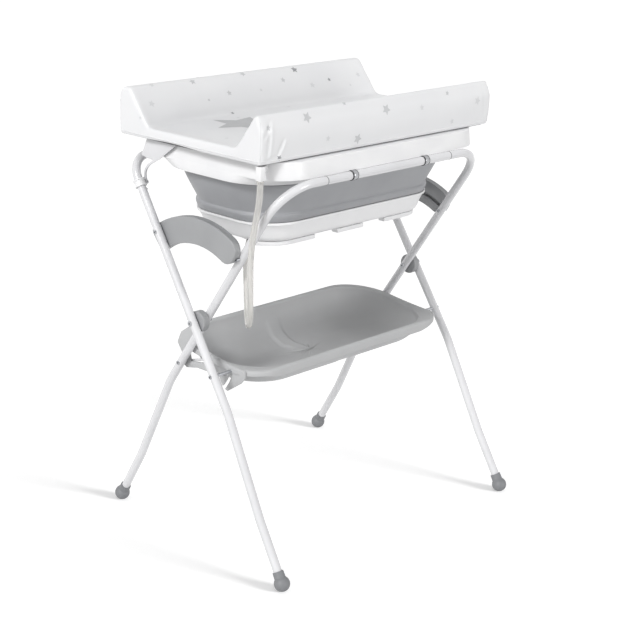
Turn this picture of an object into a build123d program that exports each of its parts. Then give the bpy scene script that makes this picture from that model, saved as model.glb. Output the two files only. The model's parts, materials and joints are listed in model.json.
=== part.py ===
# Folding changing table with a bath, in millimetres.
# X runs along the table, the front is towards -Y, Z points up and the floor is at Z = 0.
# The origin lies under the crossing of the legs, in the middle of the stand's footprint.
import os
from math import atan2, cos, degrees, hypot, pi, radians, sin, tan

from build123d import *

# Main sizes of the stand
tube_diameter = 19.0
tube_wall = 1.2
inner_half_width = 325.0
outer_half_width = 362.5
rail_height = 851.0
front_rail_depth = 225.0
back_rail_depth = 216.0
hub_height = 523.5
upper_knee_height = 351.0
lower_knee_height = 138.0
lower_knee_depth = 222.0
foot_depth = 294.5
splay = 0.019
knee_radius = 170.0
front_bend_radius = 88.0
back_bend_radius = 52.0
rail_joint_half_width = 197.0
rail_joint_gap = 0.6

# Clearances between pieces
seat_gap = 0.3
face_gap = 0.2
pin_play = 0.1
overrun = 5.0

# Feet
foot_diameter = 35.0
foot_flat_diameter = 12.0
foot_neck_length = 27.0
foot_neck_diameter = 26.0
foot_neck_top_diameter = 24.0
foot_socket_offset = 4.0

# Joint of the back rail with the outer legs
leg_top_drop = 53.0
swage_diameter = 16.4
swage_wall = 1.4
swage_length = 46.0
collar_length = 17.0
collar_diameter = 24.0
collar_ridge_diameter = 26.5
collar_ridge_width = 3.5
button_drop = 13.0
button_diameter = 7.0
button_proud = 3.0
button_flange_diameter = 9.0
button_flange_thickness = 1.0
button_flange_offset = 4.4
spring_strip = 0.6
spring_width = 5.0
spring_length = 30.0
spring_reach_share = 0.86

# Rings, plugs and rivets
ring_half_spacing = 114.5
ring_length = 12.0
ring_diameter = 21.4
plug_diameter = 16.4
plug_length = 64.0
rivet_diameter = 8.0
rivet_head_diameter = 11.0
rivet_head_thickness = 2.0
small_rivet_diameter = 6.0
small_head_diameter = 8.4

# Hub discs between the frames
hub_diameter = 47.0
hub_edge_radius = 2.5
hub_splay_room = 0.35

# Brace arcs between the frames
arc_middle_radius = 207.8
arc_width = 58.4
arc_centre_depth = 7.0
arc_centre_drop = 9.0
arc_splay_room = 0.8
arc_back_angle = 51.0
arc_front_angle = 124.5
arc_front_corner = 27.0
arc_back_corner = 12.0
arc_split_offset = 8.0
arc_edge_radius = 2.0
arc_bolt_radius = 214.0
guide_radius = 193.0
guide_pin_diameter = 8.0
guide_play = 0.6
fold_angle = 54.0

# Bath
rim_top_height = 898.0
rim_half_length = 332.5
rim_half_depth = 223.0
rim_corner = 88.0
rim_top_inset = 4.0
rim_skin = 3.0
rim_skirt_height = 842.0
rim_skirt_depth = 181.0
rim_skirt_corner = 118.0
rim_throat_inset = 17.5
rim_throat_corner = 104.0
opening_half_length = 310.0
opening_half_depth = 186.0
opening_corner = 72.0
rim_edge_radius = 3.0
wall_top_height = 840.0
wall_top_half_length = 312.0
wall_top_half_depth = 174.0
wall_top_corner = 126.0
wall_thickness = 3.0
wall_fold_height = 787.0
wall_fold_half_length = 284.0
wall_fold_half_depth = 145.0
wall_fold_corner = 101.0
wall_bulge = 5.0
wall_bulge_rise = 8.0
base_top_height = 747.0
base_top_half_length = 281.0
base_top_half_depth = 139.0
base_top_corner = 92.0
base_bottom_height = 700.0
base_bottom_half_length = 268.0
base_bottom_half_depth = 128.0
base_bottom_corner = 84.0
base_rounding = 20.0
base_skin = 3.0
base_bead_height = 5.0
base_bead_proud = 0.4
pad_height = 9.0
pad_width = 18.0
pad_inset = 12.0
pad_middle_half_length = 42.0
pad_end_start = 112.0
pad_end_half_gap = 58.0

# Hinge of the bath under the back rail
bath_hinge_drop = 20.0
bath_hinge_half_spacing = 212.0
hinge_ear_thickness = 8.0
hinge_ear_width = 7.5
hinge_boss_diameter = 15.0
hinge_pin_diameter = 6.0
hinge_tab_thickness = 2.5
hinge_tab_width = 15.0

# Changing top
board_thickness = 6.0
board_inset = 9.0
board_corner = 12.0
mat_half_length = 362.5
mat_front_depth = 204.0
mat_back_depth = 243.0
mat_top_height = 926.0
bolster_top_height = 998.0
front_bolster_width = 16.0
front_bolster_foot = 76.0
back_bolster_width = 36.0
back_bolster_foot = 98.0
front_bolster_rounding = 9.0
back_bolster_rounding = 24.0
bolster_inner_rounding = 8.0
bolster_foot_rounding = 16.0
mat_end_inset = 5.0
mat_end_length = 16.0
mat_crown = 3.0
top_hinge_depth = 235.5
top_hinge_drop = 10.3
top_hinge_half_spacing = 158.0
top_hinge_boss_diameter = 14.0
top_hinge_knuckle = 8.0
top_hinge_leaf_thickness = 2.0

# Corner brackets of the changing top
bracket_plane = 337.0
bracket_thickness = 3.6
bracket_front_depth = 83.0
bracket_top_gap = 2.4
bracket_top_back_depth = 176.0
bracket_back_depth = 196.0
bracket_back_height = 857.0
bracket_low_height = 850.5
bracket_low_front_depth = 146.0
bracket_arm_width = 5.0
bracket_front_middle = (118.0, 868.5)
bracket_low_middle = (172.5, 851.5)
bracket_arm_middle = (184.0, 823.0)
bracket_boss_diameter = 9.0
bracket_edge_radius = 4.0

# Storage tray, whose heights are taken from its pivot
tray_pivot_height = 404.0
tray_end_gap = 5.5
tray_front_depth = 140.0
tray_back_depth = 148.0
tray_front_corner = 80.0
tray_back_corner = 108.0
tray_corner_share = 0.4
tray_front_rise = 25.5
tray_middle_rise = 36.0
tray_back_rise = 57.0
tray_apron_front_rise = 2.0
tray_apron_middle_rise = 5.0
tray_apron_back_rise = 15.0
tray_lip_width = 12.0
tray_skin = 3.0
tray_floor_drop = 35.0
tray_floor_inset = 74.0
tray_wall_steps = (4.0, 12.0, 30.0, 60.0, 116.0)
tray_wall_insets = (62.0, 46.0, 26.0, 8.0, 2.0)
tray_rib_width = 16.0
tray_rib_height = 3.5
tray_window_front_depth = 62.0
tray_window_rise = 28.0
tray_hook_rise = 16.0
tray_pin_diameter = 8.0
tray_ear_thickness = 4.5
tray_ear_edge_radius = 2.5
tray_fold_ratio = 1.3
tray_slot_shares = (0.0, 0.05, 0.1, 0.15, 0.2, 0.26)
tray_ear_back_shares = (
    (-2.72, -0.57), (0.0, -1.18), (0.85, -0.64), (1.06, 1.25), (2.16, 2.64), (1.24, 4.57),
    (-1.22, 6.25), (-2.3, 5.3), (-1.44, 2.86), (-0.86, 1.14), (-1.15, 0.14), (-5.15, 0.86),
)
tray_ear_front_shares = (
    (3.45, -1.14), (1.6, -1.29), (0.95, -0.71), (0.81, 0.93), (-3.0, 0.68),
    (-3.0, -0.5), (-2.0, -1.64), (1.0, -3.64), (2.0, -3.31), (3.0, -1.64),
)
tray_wire_diameter = 5.0
tray_wire_bend = 6.0
tray_wire_places = ((-11.0, 2.0), (-49.0, 13.0), (-89.0, 20.5), (-128.0, 24.0), (-134.0, -4.0))

# Drain and hose
hose_diameter = 13.0
hose_bore = 9.4
spigot_diameter = 8.8
spigot_length = 14.0
clip_block = 15.0
clip_arm_width = 9.0
clip_top_gap = 2.0
drain_flange_diameter = 28.0
drain_flange_thickness = 3.0
drain_stub_length = 14.0
drain_hole_diameter = 16.0
drain_elbow_diameter = 13.0
drain_elbow_reach = 8.0

# Route of the drain hose, from the clip at the rim down, round and up to the drain
hose_points = [
    (-350.0, -191.5, 867.0),
    (-350.0, -191.5, 841.0),
    (-350.0, -186.0, 807.0),
    (-350.0, -175.0, 765.0),
    (-350.0, -166.5, 719.0),
    (-350.0, -164.0, 671.0),
    (-350.0, -164.8, 623.0),
    (-350.0, -165.5, 570.0),
    (-333.3, -144.0, 543.3),
    (-309.7, -114.5, 543.3),
    (-293.0, -93.5, 570.0),
    (-291.0, -90.0, 613.0),
    (-281.0, -77.0, 650.0),
    (-262.0, -57.0, 677.0),
    (-237.6, -38.9, 690.4),
]

# Places that follow from the sizes
tube_radius = tube_diameter / 2
rail_top = rail_height + tube_radius
leg_rise = rail_height - hub_height
inner_leg_face = inner_half_width + tube_radius
outer_leg_face = outer_half_width - tube_radius
rim_rest_height = rail_top + seat_gap
bath_hinge_height = rail_height - bath_hinge_drop
board_bottom_height = rim_top_height + seat_gap
mat_bottom_height = board_bottom_height + face_gap
top_hinge_height = board_bottom_height - top_hinge_drop
leg_top_height = rail_height - leg_top_drop
button_height = leg_top_height - button_drop
tray_half_length = inner_half_width - tube_radius - tray_end_gap
tray_front_height = tray_pivot_height + tray_front_rise
tray_middle_height = tray_pivot_height + tray_middle_rise
tray_back_height = tray_pivot_height + tray_back_rise
tray_floor_height = tray_pivot_height - tray_floor_drop
tray_hook_height = tray_pivot_height + tray_hook_rise
tray_middle_depth = (tray_back_depth - tray_front_depth) / 2
tray_half_depth = (tray_back_depth + tray_front_depth) / 2
tray_ear_plane = inner_half_width - tube_radius - rivet_head_thickness - seat_gap - tray_ear_thickness

LEFT, RIGHT = -1, 1
SIDES = {"left": LEFT, "right": RIGHT}


def inner_x(height):
    """Distance of an inner leg's axis from the middle, as the legs splay towards the floor."""
    return inner_half_width + splay * (hub_height - height)


def outer_x(height):
    """Distance of an outer leg's axis from the middle, as the legs splay towards the floor."""
    return outer_half_width + splay * (hub_height - height)


def inner_leg_depth(height):
    """Y of the axis of an inner leg, which carries the front rail, at a height above its upper knee."""
    return -front_rail_depth * (height - hub_height) / leg_rise


def outer_leg_depth(height):
    """Y of the axis of an outer leg, which carries the back rail, at a height above its upper knee."""
    return back_rail_depth * (height - hub_height) / leg_rise


def rod(start, end, diameter):
    """A round bar from one point to another."""
    line = Line(start, end)
    return sweep(Plane(origin=start, z_dir=line % 0) * Circle(diameter / 2), path=line)


def rod_x(x_start, x_end, y, z, diameter):
    """A round bar along X."""
    low, high = min(x_start, x_end), max(x_start, x_end)
    return extrude(Plane.YZ.offset(low) * Pos(y, z) * Circle(diameter / 2), high - low)


def plate_x(face, x_start, x_end):
    """A plate whose face is drawn in Y and Z, between two values of X."""
    low, high = min(x_start, x_end), max(x_start, x_end)
    return extrude(Plane.YZ.offset(low) * face, high - low)


def tube_on(path, diameter, wall):
    """A round tube along a path."""
    section = Circle(diameter / 2) - Circle(diameter / 2 - wall)
    return sweep(Plane(origin=path @ 0, z_dir=path % 0) * section, path=path)


def rounded(half_length, half_depth, corner, height, depth_offset=0):
    """A rounded rectangle at a height."""
    shape = RectangleRounded(2 * half_length, 2 * half_depth, corner)
    return Pos(0, depth_offset, height) * shape


def bowl(sections, depth_offset=0):
    """A body whose outline passes through rounded rectangles, given from the bottom up."""
    faces = [rounded(*section, depth_offset) for section in sections]
    return loft(faces, ruled=True)


def inset_sections(sections, inset):
    """The same rounded rectangles, each drawn in by an amount."""
    return [(a - inset, b - inset, r - inset, z) for a, b, r, z in sections]


# Stand


def foot_centre(side, half_width, depth_sign):
    """Centre of a foot's ball, whose flat stands on the floor."""
    radius = foot_diameter / 2
    height = (radius**2 - (foot_flat_diameter / 2) ** 2) ** 0.5
    return Vector(side * half_width(height), depth_sign * foot_depth, height)


def leg_points(side, half_width, rail_depth, depth_sign):
    """Corners of a leg's axis below the hub: both knees and the foot."""
    slope = rail_depth / leg_rise
    knee_x, lower_knee_x = side * half_width(upper_knee_height), side * half_width(lower_knee_height)
    knee = (knee_x, depth_sign * slope * (hub_height - upper_knee_height), upper_knee_height)
    lower_knee = (lower_knee_x, depth_sign * lower_knee_depth, lower_knee_height)
    return [knee, lower_knee, foot_centre(side, half_width, depth_sign)]


def holes_through(side, half_width, places):
    """Cross holes through a leg at places given as Y, Z and rivet diameter."""
    holes = []
    for y, z, diameter in places:
        x = side * half_width(z)
        holes.append(rod_x(x - tube_diameter, x + tube_diameter, y, z, diameter + 2 * pin_play))
    return holes


def leg_end(points):
    """The end of a leg's tube, a little above the centre of its foot, and the leg's direction there."""
    knee, centre = Vector(*points[-2]), points[-1]
    direction = (knee - centre).normalized()
    return centre + direction * foot_socket_offset, direction


def inner_leg(side):
    """Tube from the joint in the front rail, round the bend and down to a back foot."""
    corner = (side * inner_x(rail_height), -front_rail_depth, rail_height)
    start = (side * (rail_joint_half_width + rail_joint_gap / 2), -front_rail_depth, rail_height)
    points = leg_points(side, inner_x, front_rail_depth, 1)
    end, _ = leg_end(points)
    radii = [front_bend_radius, knee_radius, knee_radius]
    path = FilletPolyline(start, corner, *points[:-1], end, radius=radii)
    guide_z = guide_pin_height()
    holes = [
        (0, hub_height, rivet_diameter),
        (inner_leg_depth(guide_z), guide_z, small_rivet_diameter),
        (inner_leg_depth(tray_pivot_height), tray_pivot_height, small_rivet_diameter),
    ]
    return tube_on(path, tube_diameter, tube_wall) - holes_through(side, inner_x, holes)


def guide_pin_height():
    """Height of the guide pin on the inner leg's axis."""
    return hub_height + guide_radius * leg_rise / hypot(leg_rise, front_rail_depth)


def arc_bolt_height():
    """Height of the brace arc's bolt on the outer leg's axis."""
    return hub_height + arc_bolt_radius * leg_rise / hypot(leg_rise, back_rail_depth)


def outer_leg(side):
    """Tube from the joint under the back rail down to a front foot."""
    top = (side * outer_x(leg_top_height), outer_leg_depth(leg_top_height), leg_top_height)
    points = leg_points(side, outer_x, back_rail_depth, -1)
    end, _ = leg_end(points)
    path = FilletPolyline(top, *points[:-1], end, radius=[knee_radius, knee_radius])
    bolt_z = arc_bolt_height()
    holes = [
        (0, hub_height, rivet_diameter),
        (outer_leg_depth(bolt_z), bolt_z, small_rivet_diameter),
        (outer_leg_depth(tray_hook_height), tray_hook_height, small_rivet_diameter),
    ]
    tube = tube_on(path, tube_diameter, tube_wall) - holes_through(side, outer_x, holes)
    return tube - button_hole(side)


def outer_leg_direction(side):
    """Unit vector up along an outer leg."""
    return Vector(-side * splay * leg_rise, back_rail_depth, leg_rise).normalized()


def outer_leg_place(side, height):
    """Point on an outer leg's axis above its upper knee."""
    return Vector(side * outer_x(height), outer_leg_depth(height), height)


def button_direction(side):
    """Unit vector out of an outer leg towards the middle, in which its spring button stands out."""
    up = outer_leg_direction(side)
    return up.cross(Vector(0, -up.Z, up.Y)).normalized() * -side


def button_hole(side):
    """The hole that a spring button works in."""
    start = outer_leg_place(side, button_height)
    return rod(start, start + button_direction(side) * tube_diameter, button_diameter + 2 * pin_play)


def back_rail_end(side):
    """Where the back rail meets the top of an outer leg."""
    return outer_leg_place(side, leg_top_height) + outer_leg_direction(side) * rail_joint_gap


def back_rail_path():
    """Axis of the back rail, from one joint with the outer legs to the other."""
    ends = [back_rail_end(side) for side in (LEFT, RIGHT)]
    corners = [(side * outer_x(rail_height), back_rail_depth, rail_height) for side in (LEFT, RIGHT)]
    return FilletPolyline(ends[0], *corners, ends[1], radius=back_bend_radius)


def back_rail():
    """Bent tube over the back, whose drawn-in ends plug into the outer legs."""
    rail = tube_on(back_rail_path(), tube_diameter, tube_wall)
    step = (tube_diameter - swage_diameter) / 2
    for side in (LEFT, RIGHT):
        up = outer_leg_direction(side)
        end = back_rail_end(side)
        swage = tube_on(Line(end + up * swage_wall, end - up * swage_length), swage_diameter, swage_wall)
        shoulder = tube_on(Line(end + up * tube_wall, end), tube_diameter - tube_wall, step + swage_wall)
        rail += swage + shoulder
        rail -= button_hole(side)
    return rail


def collar(side):
    """Moulded ring over the joint of the back rail with an outer leg, with two ridges."""
    middle = outer_leg_place(side, leg_top_height)
    up = outer_leg_direction(side)
    low = middle - up * (collar_length / 2)
    high = middle + up * (collar_length / 2)
    ring = rod(low, high, collar_diameter)
    for start in (low, high - up * collar_ridge_width):
        ring += rod(start, start + up * collar_ridge_width, collar_ridge_diameter)
    return ring - rod(low - up * overrun, high + up * overrun, tube_diameter + 2 * pin_play)


def spring_button(side):
    """Button that locks the joint: a domed pin through both tubes, with a flange inside."""
    centre, out = outer_leg_place(side, button_height), button_direction(side)
    dome = button_diameter / 2
    dome_start = tube_radius + button_proud - dome / 2
    flange_start = button_flange_offset - button_flange_thickness
    pin = rod(centre + out * flange_start, centre + out * dome_start, button_diameter)
    cap = Plane(origin=centre + out * dome_start, z_dir=out) * Cone(
        dome, dome / 2, dome / 2, align=(Align.CENTER, Align.CENTER, Align.MIN)
    )
    flange = rod(centre + out * flange_start, centre + out * button_flange_offset, button_flange_diameter)
    return pin + cap + flange


def button_spring(side):
    """Bent leaf inside the tube that pushes a button out: two legs joined by a bend."""
    centre, out = outer_leg_place(side, button_height), button_direction(side)
    high = button_flange_offset - button_flange_thickness - spring_strip / 2 - face_gap
    low = spring_strip / 2 + face_gap - (swage_diameter / 2 - swage_wall) * spring_reach_share
    outline = Polyline(
        (spring_width / 2, high),
        (-spring_width / 2, high),
        (-spring_length, (high + low) / 2),
        (-spring_width, low),
        (spring_width, low),
    )
    up = outer_leg_direction(side)
    plane = Plane(origin=centre, x_dir=up, z_dir=up.cross(out))
    strip = trace(outline, line_width=spring_strip)
    return extrude(plane * strip, spring_width / 2, both=True)


def front_rail():
    """Straight middle length of the front rail, between its two joints."""
    half = rail_joint_half_width - rail_joint_gap / 2
    path = Line((-half, -front_rail_depth, rail_height), (half, -front_rail_depth, rail_height))
    return tube_on(path, tube_diameter, tube_wall)


def rail_plug(side):
    """Plug inside the tubes that holds a joint of the front rail together."""
    middle = side * rail_joint_half_width
    half = plug_length / 2
    return rod_x(middle - half, middle + half, -front_rail_depth, rail_height, plug_diameter)


def rail_ring(side):
    """Bright band round the front rail."""
    middle = side * ring_half_spacing
    path = Line(
        (middle - ring_length / 2, -front_rail_depth, rail_height),
        (middle + ring_length / 2, -front_rail_depth, rail_height),
    )
    return tube_on(path, ring_diameter, (ring_diameter - tube_diameter) / 2 - pin_play)


def foot(side, half_width, rail_depth, depth_sign):
    """Ball foot with a neck that the leg plugs into, and a small flat to stand on."""
    points = leg_points(side, half_width, rail_depth, depth_sign)
    centre = points[-1]
    end, direction = leg_end(points)
    ball = Pos(*centre) * Sphere(foot_diameter / 2)
    neck_plane = Plane(origin=centre, z_dir=direction)
    neck = neck_plane * Cone(
        foot_neck_diameter / 2,
        foot_neck_top_diameter / 2,
        foot_neck_length,
        align=(Align.CENTER, Align.CENTER, Align.MIN),
    )
    socket_start = end - direction * face_gap
    socket_end = socket_start + direction * (foot_neck_length + overrun)
    socket = rod(socket_start, socket_end, tube_diameter + 2 * pin_play)
    under = Box(2 * foot_diameter, 2 * foot_diameter, foot_diameter)
    below = Pos(centre.X, centre.Y, -foot_diameter / 2) * under
    return ball + neck - socket - below


def hub_disc(side):
    """Round spacer between the two frames at their crossing."""
    start, end = inner_leg_face + hub_splay_room + face_gap, outer_leg_face - hub_splay_room - face_gap
    disc = rod_x(side * start, side * end, 0, hub_height, hub_diameter)
    disc = fillet(disc.edges(), hub_edge_radius)
    bore = rivet_diameter + 2 * pin_play
    return disc - rod_x(side * (start - overrun), side * (end + overrun), 0, hub_height, bore)


def rivet_between(side, x_start, x_end, y, z, diameter, head):
    """A rivet along X with a flat head at each end, outside the two places given."""
    shank = rod_x(side * x_start, side * x_end, y, z, diameter)
    outer_head = rod_x(side * x_end, side * (x_end + rivet_head_thickness), y, z, head)
    inner_head = rod_x(side * (x_start - rivet_head_thickness), side * x_start, y, z, head)
    return shank + outer_head + inner_head


def hub_rivet(side):
    """Rivet on which the two frames turn."""
    start = inner_half_width - tube_radius - seat_gap
    end = outer_half_width + tube_radius + face_gap
    return rivet_between(side, start, end, 0, hub_height, rivet_diameter, rivet_head_diameter)


def arc_polar(radius, angle):
    """A point in Y and Z at a radius and an angle about the centre of the brace arc's outline."""
    depth, height = arc_centre_depth, hub_height - arc_centre_drop
    return (depth + radius * cos(radians(angle)), height + radius * sin(radians(angle)))


def arc_faces():
    """X of a brace arc's inner face, its parting and its outer face, where the legs pass it."""
    height = guide_pin_height()
    inner_face = inner_x(height) + tube_radius + arc_splay_room
    outer_face = outer_x(height) - tube_radius - arc_splay_room
    return inner_face, inner_face + arc_split_offset, outer_face


def arc_face():
    """Curved band of the brace arc, drawn in Y and Z."""
    outer, inner = arc_middle_radius + arc_width / 2, arc_middle_radius - arc_width / 2
    middle = (arc_back_angle + arc_front_angle) / 2
    angles = (arc_back_angle, middle, arc_front_angle)
    outer_points = [arc_polar(outer, angle) for angle in angles]
    inner_points = [arc_polar(inner, angle) for angle in angles]
    band = make_face(
        [
            ThreePointArc(*outer_points),
            Line(outer_points[2], inner_points[2]),
            ThreePointArc(*inner_points),
            Line(inner_points[0], outer_points[0]),
        ]
    )
    by_depth = band.vertices().sort_by(Axis.X)
    band = fillet(by_depth[:2], arc_front_corner)
    by_depth = band.vertices().sort_by(Axis.X)
    return fillet(by_depth[-2:], arc_back_corner)


def hub_polar(radius, angle):
    """A point in Y and Z at a radius and an angle about the hub."""
    return (radius * cos(radians(angle)), hub_height + radius * sin(radians(angle)))


def guide_slot():
    """Curved slot in which the inner leg's guide pin runs."""
    open_angle = 180 - degrees(atan2(leg_rise, front_rail_depth))
    end_play = degrees(guide_play / guide_radius)
    folded = open_angle - fold_angle - end_play
    open_end = open_angle + end_play
    angles = (folded, (folded + open_end) / 2, open_end)
    centre_line = ThreePointArc(*[hub_polar(guide_radius, angle) for angle in angles])
    return SlotArc(centre_line, guide_pin_diameter + 2 * guide_play)


def arc_cover(side):
    """Outer half of a brace arc, bolted to the outer leg."""
    _, parting, end = arc_faces()
    start = parting + face_gap / 2
    cover = plate_x(arc_face(), side * start, side * end)
    faces = cover.faces().sort_by(Axis.X)
    face = faces[-1] if side > 0 else faces[0]
    cover = fillet(face.edges(), arc_edge_radius)
    return cover - arc_bolt_hole(side, start, end)


def arc_bolt_hole(side, start, end):
    """The bolt's hole through a half of a brace arc that lies between two values of X."""
    bolt_z = arc_bolt_height()
    bore = small_rivet_diameter + 2 * pin_play
    low, high = side * (start - overrun), side * (end + overrun)
    return rod_x(low, high, outer_leg_depth(bolt_z), bolt_z, bore)


def arc_guide(side):
    """Inner half of a brace arc, with the curved slot for the guide pin."""
    start, parting, _ = arc_faces()
    end = parting - face_gap / 2
    guide = plate_x(arc_face(), side * start, side * end)
    guide -= arc_bolt_hole(side, start, end)
    return guide - plate_x(guide_slot(), side * (start - overrun), side * (end + overrun))


def arc_bolt(side):
    """Bolt that holds a brace arc to the outer leg."""
    bolt_z = arc_bolt_height()
    start = arc_faces()[0] + face_gap
    end = outer_x(bolt_z) + tube_radius + face_gap
    shank = rod_x(side * start, side * end, outer_leg_depth(bolt_z), bolt_z, small_rivet_diameter)
    head_end = end + rivet_head_thickness
    head = rod_x(side * end, side * head_end, outer_leg_depth(bolt_z), bolt_z, small_head_diameter)
    return shank + head


def guide_pin(side):
    """Rivet through the inner leg whose thick end runs in the brace arc's slot."""
    z = guide_pin_height()
    y = inner_leg_depth(z)
    start = inner_x(z) - tube_radius - face_gap
    thick_start = inner_x(z) + tube_radius + face_gap
    thick_end = arc_faces()[1] - seat_gap
    shank = rod_x(side * start, side * thick_start, y, z, small_rivet_diameter)
    head = rod_x(side * (start - rivet_head_thickness), side * start, y, z, small_head_diameter)
    return shank + head + rod_x(side * thick_start, side * thick_end, y, z, guide_pin_diameter)


def tray_pivot_pin(side):
    """Pin through the inner leg on which the tray turns."""
    y, z = inner_leg_depth(tray_pivot_height), tray_pivot_height
    start = tray_ear_plane - face_gap
    end = inner_x(z) + tube_radius + face_gap
    shank = rod_x(side * start, side * end, y, z, small_rivet_diameter)
    head = rod_x(side * end, side * (end + rivet_head_thickness), y, z, small_head_diameter)
    return shank + head


def tray_hook_pin(side):
    """Pin on the outer leg that the tray's hook drops over."""
    y, z = outer_leg_depth(tray_hook_height), tray_hook_height
    start = tray_ear_plane - face_gap
    middle = outer_x(z) - tube_radius - face_gap
    end = outer_x(z) + tube_radius + face_gap
    thick = rod_x(side * start, side * middle, y, z, tray_pin_diameter)
    thin = rod_x(side * middle, side * end, y, z, small_rivet_diameter)
    head = rod_x(side * end, side * (end + rivet_head_thickness), y, z, small_head_diameter)
    return thick + thin + head


# Bath


def rim_sections():
    """Outside of the rim above its rest on the rails, from the bottom up."""
    top = (rim_half_length - rim_top_inset, rim_half_depth - rim_top_inset, rim_corner - rim_top_inset)
    return [
        (rim_half_length, rim_half_depth, rim_corner, rim_rest_height),
        (*top, rim_top_height),
    ]


def skirt_sections():
    """Outside of the skirt between the rails, from the bottom up."""
    throat = (rim_half_length, rim_half_depth - rim_throat_inset, rim_throat_corner)
    return [
        (rim_half_length, rim_skirt_depth, rim_skirt_corner, rim_skirt_height),
        (*throat, rim_rest_height),
        (*throat, rim_rest_height + rim_skin),
    ]


def bath_rim():
    """Hollow rim of the bath: flange over the rails, skirt between them, and the hinge ears."""
    rim = bowl(rim_sections()) + bowl(skirt_sections())
    opening_size = (opening_half_length, opening_half_depth, opening_corner)
    opening = [
        (wall_top_half_length, wall_top_half_depth, wall_top_corner, wall_top_height),
        (*[size + rim_skin for size in opening_size], rim_top_height),
    ]
    inner_wall = bowl(opening)
    flange_low, flange_high = inset_sections(rim_sections(), rim_skin)
    flange_low = (*flange_low[:3], rim_rest_height + rim_skin)
    flange_high = (*flange_high[:3], rim_top_height - rim_skin)
    skirt = inset_sections(skirt_sections(), rim_skin)
    skirt[0] = (*skirt[0][:3], rim_skirt_height)
    hollow = bowl([flange_low, flange_high]) + bowl(skirt)
    rim -= hollow - inner_wall
    rim += inner_wall
    rim -= bowl(inset_sections(stretch(opening, overrun), rim_skin))
    top_edges = rim.faces().sort_by(Axis.Z)[-1].edges()
    rim = fillet(top_edges, rim_edge_radius - rim_skin / 4)
    for side in SIDES.values():
        rim += hinge_ear(side) + top_hinge_lug(side)
        middle, half = side * ring_half_spacing, ring_length / 2 + 2 * seat_gap
        clear = ring_diameter + 2 * seat_gap
        rim -= rod_x(middle - half, middle + half, -front_rail_depth, rail_height, clear)
    return rim


def stretch(sections, length):
    """Two rounded rectangles carried on in line past both ends by a length."""
    (a0, b0, r0, z0), (a1, b1, r1, z1) = sections
    step = length / (z1 - z0)
    low = (a0 - (a1 - a0) * step, b0 - (b1 - b0) * step, r0 - (r1 - r0) * step, z0 - length)
    high = (a1 + (a1 - a0) * step, b1 + (b1 - b0) * step, r1 + (r1 - r0) * step, z1 + length)
    return [low, high]


def hinge_ear(side):
    """Ear of the rim that goes round behind the back rail to the hinge pin under it."""
    clear = hypot(0, bath_hinge_drop + tube_radius) + seat_gap
    outer = clear + hinge_ear_width
    hub = Pos(back_rail_depth, bath_hinge_height)
    ring = hub * (Circle(outer) - Circle(clear))
    keep = hub * Pos(outer, 0) * Rectangle(2 * outer, 2 * outer)
    low = hub * Pos(outer, -outer - hinge_boss_diameter / 2) * Rectangle(2 * outer, 2 * outer)
    hook = (ring & keep) - low
    arm = Rectangle(clear + hinge_ear_width / 2, hinge_boss_diameter)
    arm = hub * Pos(clear / 2 + hinge_ear_width / 4, 0) * arm
    boss = hub * Circle(hinge_boss_diameter / 2)
    face = hook + arm + boss - hub * Circle(hinge_pin_diameter / 2 + pin_play)
    x = side * bath_hinge_half_spacing
    return plate_x(face, x - hinge_ear_thickness / 2, x + hinge_ear_thickness / 2)


def top_hinge_lug(side):
    """Lug on the rim's back that carries the changing top's hinge pin."""
    centre = Pos(top_hinge_depth, top_hinge_height)
    root_length = top_hinge_depth - rim_half_depth + rim_top_inset
    root = Rectangle(root_length, top_hinge_boss_diameter)
    root = Pos(top_hinge_depth - root_length / 2, top_hinge_height) * root
    face = centre * Circle(top_hinge_boss_diameter / 2) + root
    face -= centre * Circle(hinge_pin_diameter / 2 + pin_play)
    x = side * top_hinge_half_spacing
    return plate_x(face, x - top_hinge_knuckle / 2, x + top_hinge_knuckle / 2)


def bath_wall():
    """Soft grey wall that folds: a tapered sleeve with one step at mid height."""
    fold = (wall_fold_half_length, wall_fold_half_depth, wall_fold_corner)
    bulge = tuple(size + wall_bulge for size in fold)
    foot_inset = wall_thickness / 2
    foot = (base_top_half_length - foot_inset, base_top_half_depth - foot_inset, base_top_corner)
    outside = [
        (*foot, base_top_height + seat_gap),
        (*bulge, wall_fold_height - 2 * wall_bulge_rise),
        (*bulge, wall_fold_height - wall_bulge_rise),
        (*fold, wall_fold_height),
        (wall_top_half_length, wall_top_half_depth, wall_top_corner, wall_top_height),
    ]
    inside = inset_sections(outside, wall_thickness)
    low, high = inside[0], inside[-1]
    below = (*low[:3], low[3] - overrun)
    above = (*high[:3], high[3] + overrun)
    return bowl(outside) - bowl([below, *inside, above])


def rounded_bottom(sections, radius, steps=4):
    """The lowest two rounded rectangles with a round edge between side and floor."""
    (a, b, r, z), top = sections
    low = []
    for index in range(steps + 1):
        angle = pi / 2 * index / steps
        inset = radius * (1 - sin(angle))
        low.append((a - inset, b - inset, r - inset, z + radius * (1 - cos(angle))))
    return [*low, top]


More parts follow.
